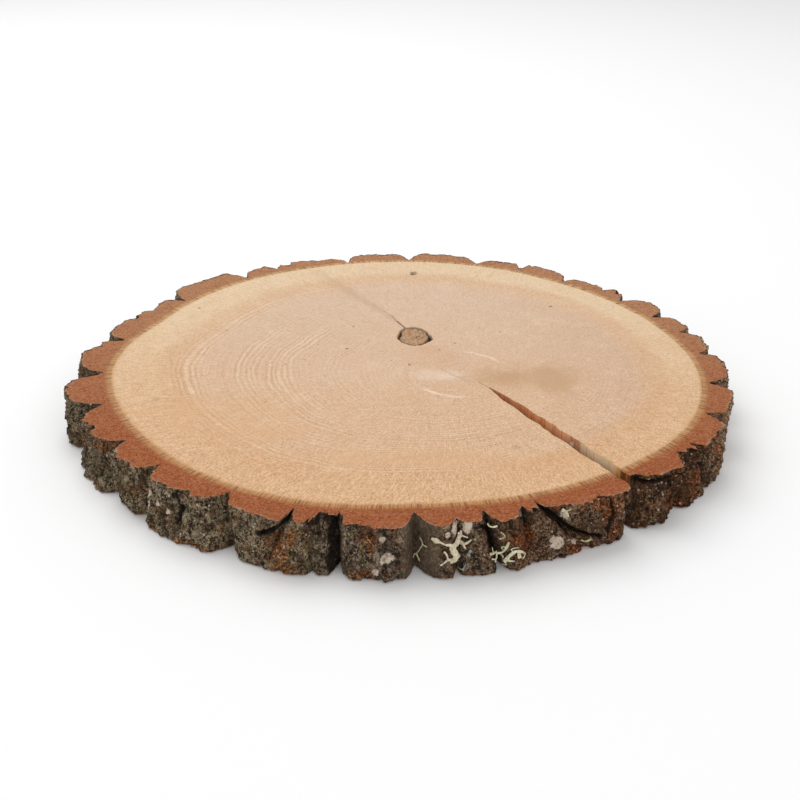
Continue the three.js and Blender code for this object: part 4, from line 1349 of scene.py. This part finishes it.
LICHENS: dict[str, tuple[LichenFinish, tuple[Branch, ...]]] = {
    "lichen_tuft_cream": (CREAM, (
        Branch(0.5, 1.1, ((278.0, 4.2, 0.2), (277.9, 5.4, 0.3), (277.8, 7.0, 0.4))),
        Branch(1.1, 1.3, ((277.8, 6.6, 0.4), (277.2, 8.2, 0.4), (276.6, 9.2, 0.4))),
        Branch(1.3, 1.5, ((276.6, 8.8, 0.4), (276.7, 11.0, 0.4), (277.1, 13.4, 0.4), (277.4, 15.2, 0.2))),
        Branch(1.5, 0.5, ((277.3, 14.4, 0.3), (276.9, 16.0, 0.3), (276.4, 17.4, 0))),
        Branch(0.4, 0.3, ((277.9, 5.6, 0.3), (277.5, 4.6, 0.3), (277.5, 3.9, 0.2))),
        Branch(0.8, 0.4, ((276.4, 8.6, 0.4), (275.8, 8.5, 0.5), (275.2, 8.0, 0.4))),
        Branch(0.45, 0.9, ((275.3, 8.1, 0.4), (274.9, 7.4, 0.3), (274.5, 6.8, 0.2))),
        Branch(1.1, 1.2, ((274.7, 7.0, 0.2), (274.3, 6.5, 0.2), (274.1, 6.3, 0.1))),
        Branch(1.1, 0.4, ((274.2, 6.4, 0.1), (273.9, 6.1, 0.1), (273.6, 5.9, 0))),
        Branch(0.9, 0.3, ((277.6, 8.8, 0.4), (278.3, 9.8, 0.6), (278.9, 9.0, 0.5), (279.4, 7.8, 0.2))),
        Branch(0.6, 0.3, ((278.2, 9.4, 0.5), (278.4, 11.0, 0.5), (278.7, 12.6, 0.2))),
        Branch(0.45, 0.25, ((277.9, 6.4, 0.4), (278.4, 6.4, 0.5), (278.9, 6.9, 0.2))),
        Branch(0.5, 0.45, ((275.4, 11.8, 0.2), (275.8, 13.2, 0.4), (276.0, 15.2, 0.4))),
        Branch(0.7, 0.4, ((276.8, 15.8, 0.2), (276.0, 15.8, 0.4), (275.4, 16.9, 0.3), (274.9, 18.0, 0))),
    )),
    "lichen_tuft_green": (WHITE, (
        Branch(0.7, 0.45, ((282.1, 15.0, 0.3), (282.7, 14.8, 0.4), (283.3, 14.8, 0.5))),
        Branch(0.5, 0.7, ((283.1, 14.9, 0.5), (283.8, 13.4, 0.5), (284.2, 11.0, 0.4), (284.6, 9.0, 0.2))),
        Branch(0.35, 0.2, ((282.8, 14.9, 0.4), (282.6, 13.9, 0.5), (282.6, 12.9, 0.3))),
        Branch(0.45, 0.35, ((283.2, 14.8, 0.5), (283.1, 16.6, 0.4), (283.0, 18.2, 0.3), (283.1, 19.6, 0.2))),
        Branch(0.5, 0.35, ((282.4, 17.2, 0.2), (282.7, 17.4, 0.4), (283.1, 18.2, 0.3))),
        Branch(0.3, 0.25, ((283.4, 14.8, 0.5), (283.9, 15.8, 0.4), (284.0, 17.0, 0.3))),
        Branch(0.25, 0.2, ((284.0, 12.6, 0.5), (283.6, 11.6, 0.5), (284.0, 10.6, 0.4))),
        Branch(0.8, 0.9, ((284.2, 18.6, 0.2), (284.6, 16.4, 0.6), (285.1, 14.2, 0.7))),
        Branch(0.9, 0.35, ((285.0, 14.2, 0.7), (285.6, 13.4, 0.7), (286.3, 14.0, 0.6), (287.0, 15.8, 0.4), (287.4, 16.8, 0.2))),
        Branch(0.5, 0.8, ((286.0, 13.8, 0.6), (286.3, 15.6, 0.5), (286.4, 17.6, 0.3))),
        Branch(0.3, 0.2, ((287.3, 16.6, 0.3), (287.0, 17.6, 0.3), (286.8, 18.2, 0.1))),
        Branch(0.7, 0.4, ((284.5, 17.4, 0.5), (285.0, 18.0, 0.6), (285.6, 18.6, 0.3))),
        Branch(0.25, 0.2, ((285.4, 13.6, 0.7), (284.9, 12.2, 0.6), (285.6, 11.8, 0.5), (286.2, 12.4, 0.3))),
        Branch(0.25, 0.2, ((284.2, 18.4, 0.3), (284.4, 19.8, 0.4), (284.1, 21.2, 0.1))),
    )),
    "lichen_strand": (GREEN, (
        Branch(0.25, 0.35, ((272.1, 8.6, 0), (272.4, 9.8, 0.3), (272.5, 11.2, 0.4))),
        Branch(0.35, 0.3, ((272.5, 10.8, 0.4), (272.2, 13.2, 0.4), (271.9, 15.4, 0.4), (271.6, 17.2, 0.3))),
        Branch(0.35, 0.3, ((271.6, 16.8, 0.3), (271.8, 18.0, 0.3), (272.1, 19.6, 0.1))),
        Branch(0.25, 0.2, ((272.4, 11.0, 0.4), (272.8, 10.8, 0.4), (273.1, 11.0, 0.2))),
        Branch(0.3, 0.2, ((271.7, 17.0, 0.3), (271.3, 16.8, 0.3), (271.1, 17.2, 0.1))),
    )),
    "lichen_sprig_upper": (WHITE, (
        Branch(0.45, 0.35, ((282.9, 1.3, 0), (282.3, 2.0, 0.4), (281.9, 2.2, 0.3), (281.7, 1.3, 0))),
    )),
    "lichen_sprig_mid": (GREEN, (
        Branch(0.25, 0.25, ((283.4, 4.3, 0), (284.0, 6.0, 0.4), (283.6, 6.9, 0.3), (283.1, 7.1, 0))),
    )),
    "lichen_sprig_right": (CREAM, (
        Branch(0.8, 0.4, ((293.7, 2.2, 0), (294.3, 3.4, 0.4), (294.6, 5.4, 0.1))),
        Branch(0.35, 0.25, ((294.2, 3.0, 0.3), (294.8, 2.4, 0.4), (295.0, 1.6, 0.1))),
    )),
    "lichen_sprig_low": (GREEN, (
        Branch(0.4, 0.25, ((297.3, 18.8, 0), (298.2, 20, 0.4), (299.2, 19.4, 0))),
        Branch(0.3, 0.2, ((298.2, 19.8, 0.4), (298.8, 18.8, 0.4), (298.9, 18.0, 0.1))),
    )),
    "lichen_crumb_upper": (GREY, (
        Branch(0.8, 0.7, ((279.5, 13.2, 0), (279.2, 14.2, 0.3), (278.9, 15.6, 0))),
    )),
    "lichen_crumb_lower": (GREY, (
        Branch(0.35, 0.3, ((278.7, 19.0, 0), (278.4, 20.6, 0.3), (278.3, 22.0, 0))),
        Branch(0.35, 0.25, ((278.4, 20.8, 0.2), (278.0, 21.2, 0.2), (277.6, 21.4, 0))),
    )),
}


# Lichens that bridge a furrow take their stand-off from the plates on either side, this many degrees off.
SPREADS = {"lichen_sprig_upper": 1.4, "lichen_sprig_mid": 1.4, "lichen_tuft_green": 0.8}


@dataclass
class Studio:
    """A pale floor, soft light and the camera."""

    eye: tuple[float, float, float] = (0.00360, -0.55433, 0.27384)
    turn: tuple[float, float, float] = (63.82, -0.162, 0.421)
    lens: float = 54.0
    floor_half: float = 6.0

    def build(self) -> None:
        """Builds the floor, the lights and the camera."""
        self.floor()
        self.light("key", (-0.5, 0.7, 1.6), 1.6, 17.0)
        self.light("front fill", (0.5, -1.5, 1.0), 1.6, 7.0)
        world = bpy.data.worlds.new("studio")
        world.use_nodes = True
        world.node_tree.nodes["Background"].inputs["Color"].default_value = (1, 1, 1, 1)
        world.node_tree.nodes["Background"].inputs["Strength"].default_value = 0.62
        scene = bpy.context.scene
        scene.world = world
        scene.view_settings.view_transform = "Standard"
        camera = bpy.data.objects.new("camera", bpy.data.cameras.new("camera"))
        camera.data.lens = self.lens
        camera.data.sensor_width = 36.0
        camera.location = self.eye
        camera.rotation_euler = [math.radians(part) for part in self.turn]
        scene.collection.objects.link(camera)
        scene.camera = camera

    def floor(self) -> None:
        """Lays the floor under the slice."""
        bm = bmesh.new()
        bmesh.ops.create_grid(bm, x_segments=1, y_segments=1, size=self.floor_half)
        mesh = bpy.data.meshes.new("floor")
        bm.to_mesh(mesh)
        bm.free()
        floor = bpy.data.objects.new("floor", mesh)
        bpy.context.scene.collection.objects.link(floor)
        graph = new_graph("pale floor", 0.1)
        shader = graph.tree.nodes["Principled BSDF"]
        shader.inputs["Base Color"].default_value = (0.95, 0.95, 0.95, 1)
        shader.inputs["Roughness"].default_value = 0.9
        mesh.materials.append(graph.material)

    def light(self, name: str, place: tuple[float, float, float], size: float, power: float) -> None:
        """Adds a square area light that faces the slice."""
        data = bpy.data.lights.new(name, "AREA")
        data.size = size
        data.energy = power
        lamp = bpy.data.objects.new(name, data)
        lamp.location = place
        lamp.rotation_euler = (-Vector(place)).to_track_quat("-Z", "Y").to_euler()
        bpy.context.scene.collection.objects.link(lamp)


def solid_tree(node: str) -> BVHTree:
    """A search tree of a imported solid's own faces, in metres."""
    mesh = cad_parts[node].data
    return BVHTree.FromPolygons([v.co for v in mesh.vertices], [p.vertices for p in mesh.polygons])


def piece_tree(piece: bpy.types.Object) -> BVHTree:
    """A search tree of a finished piece, in metres."""
    return BVHTree.FromPolygons([v.co for v in piece.data.vertices], [p.vertices for p in piece.data.polygons])


def report(piece: bpy.types.Object) -> None:
    """Logs a piece's name and how many faces it has."""
    LOG.info("%s: %d faces", piece.name, len(piece.data.polygons))


def main() -> None:
    """Builds every piece, in order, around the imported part."""
    logging.basicConfig(level=logging.INFO, format="%(name)s: %(message)s")
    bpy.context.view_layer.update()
    Studio().build()
    trunk = Trunk()
    sawn = SawnFace(trunk)

    wood_maker = Wood(trunk)
    wood = wood_maker.build()
    wood_maker.dress(wood, sawn)
    bark_maker = Bark(trunk, solid_tree("wood_slice"))
    bark = bark_maker.build()
    bark_maker.dress(bark, BarkFinish(trunk, sawn))
    for piece in (wood, bark):
        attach(piece, "root")
        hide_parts("wood_slice")
        report(piece)

    surface = piece_tree(bark)
    materials = {finish.name: finish.material() for finish in (CREAM, GREEN, WHITE, GREY)}
    for node, (finish, branches) in LICHENS.items():
        maker = Lichen(f"{node}_growth", trunk, surface, branches, SPREADS.get(node, 0.35))
        piece = maker.build()
        maker.dress(piece, materials[finish.name])
        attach(piece, "root")
        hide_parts(node)
        report(piece)


if __name__ == "__main__":
    main()
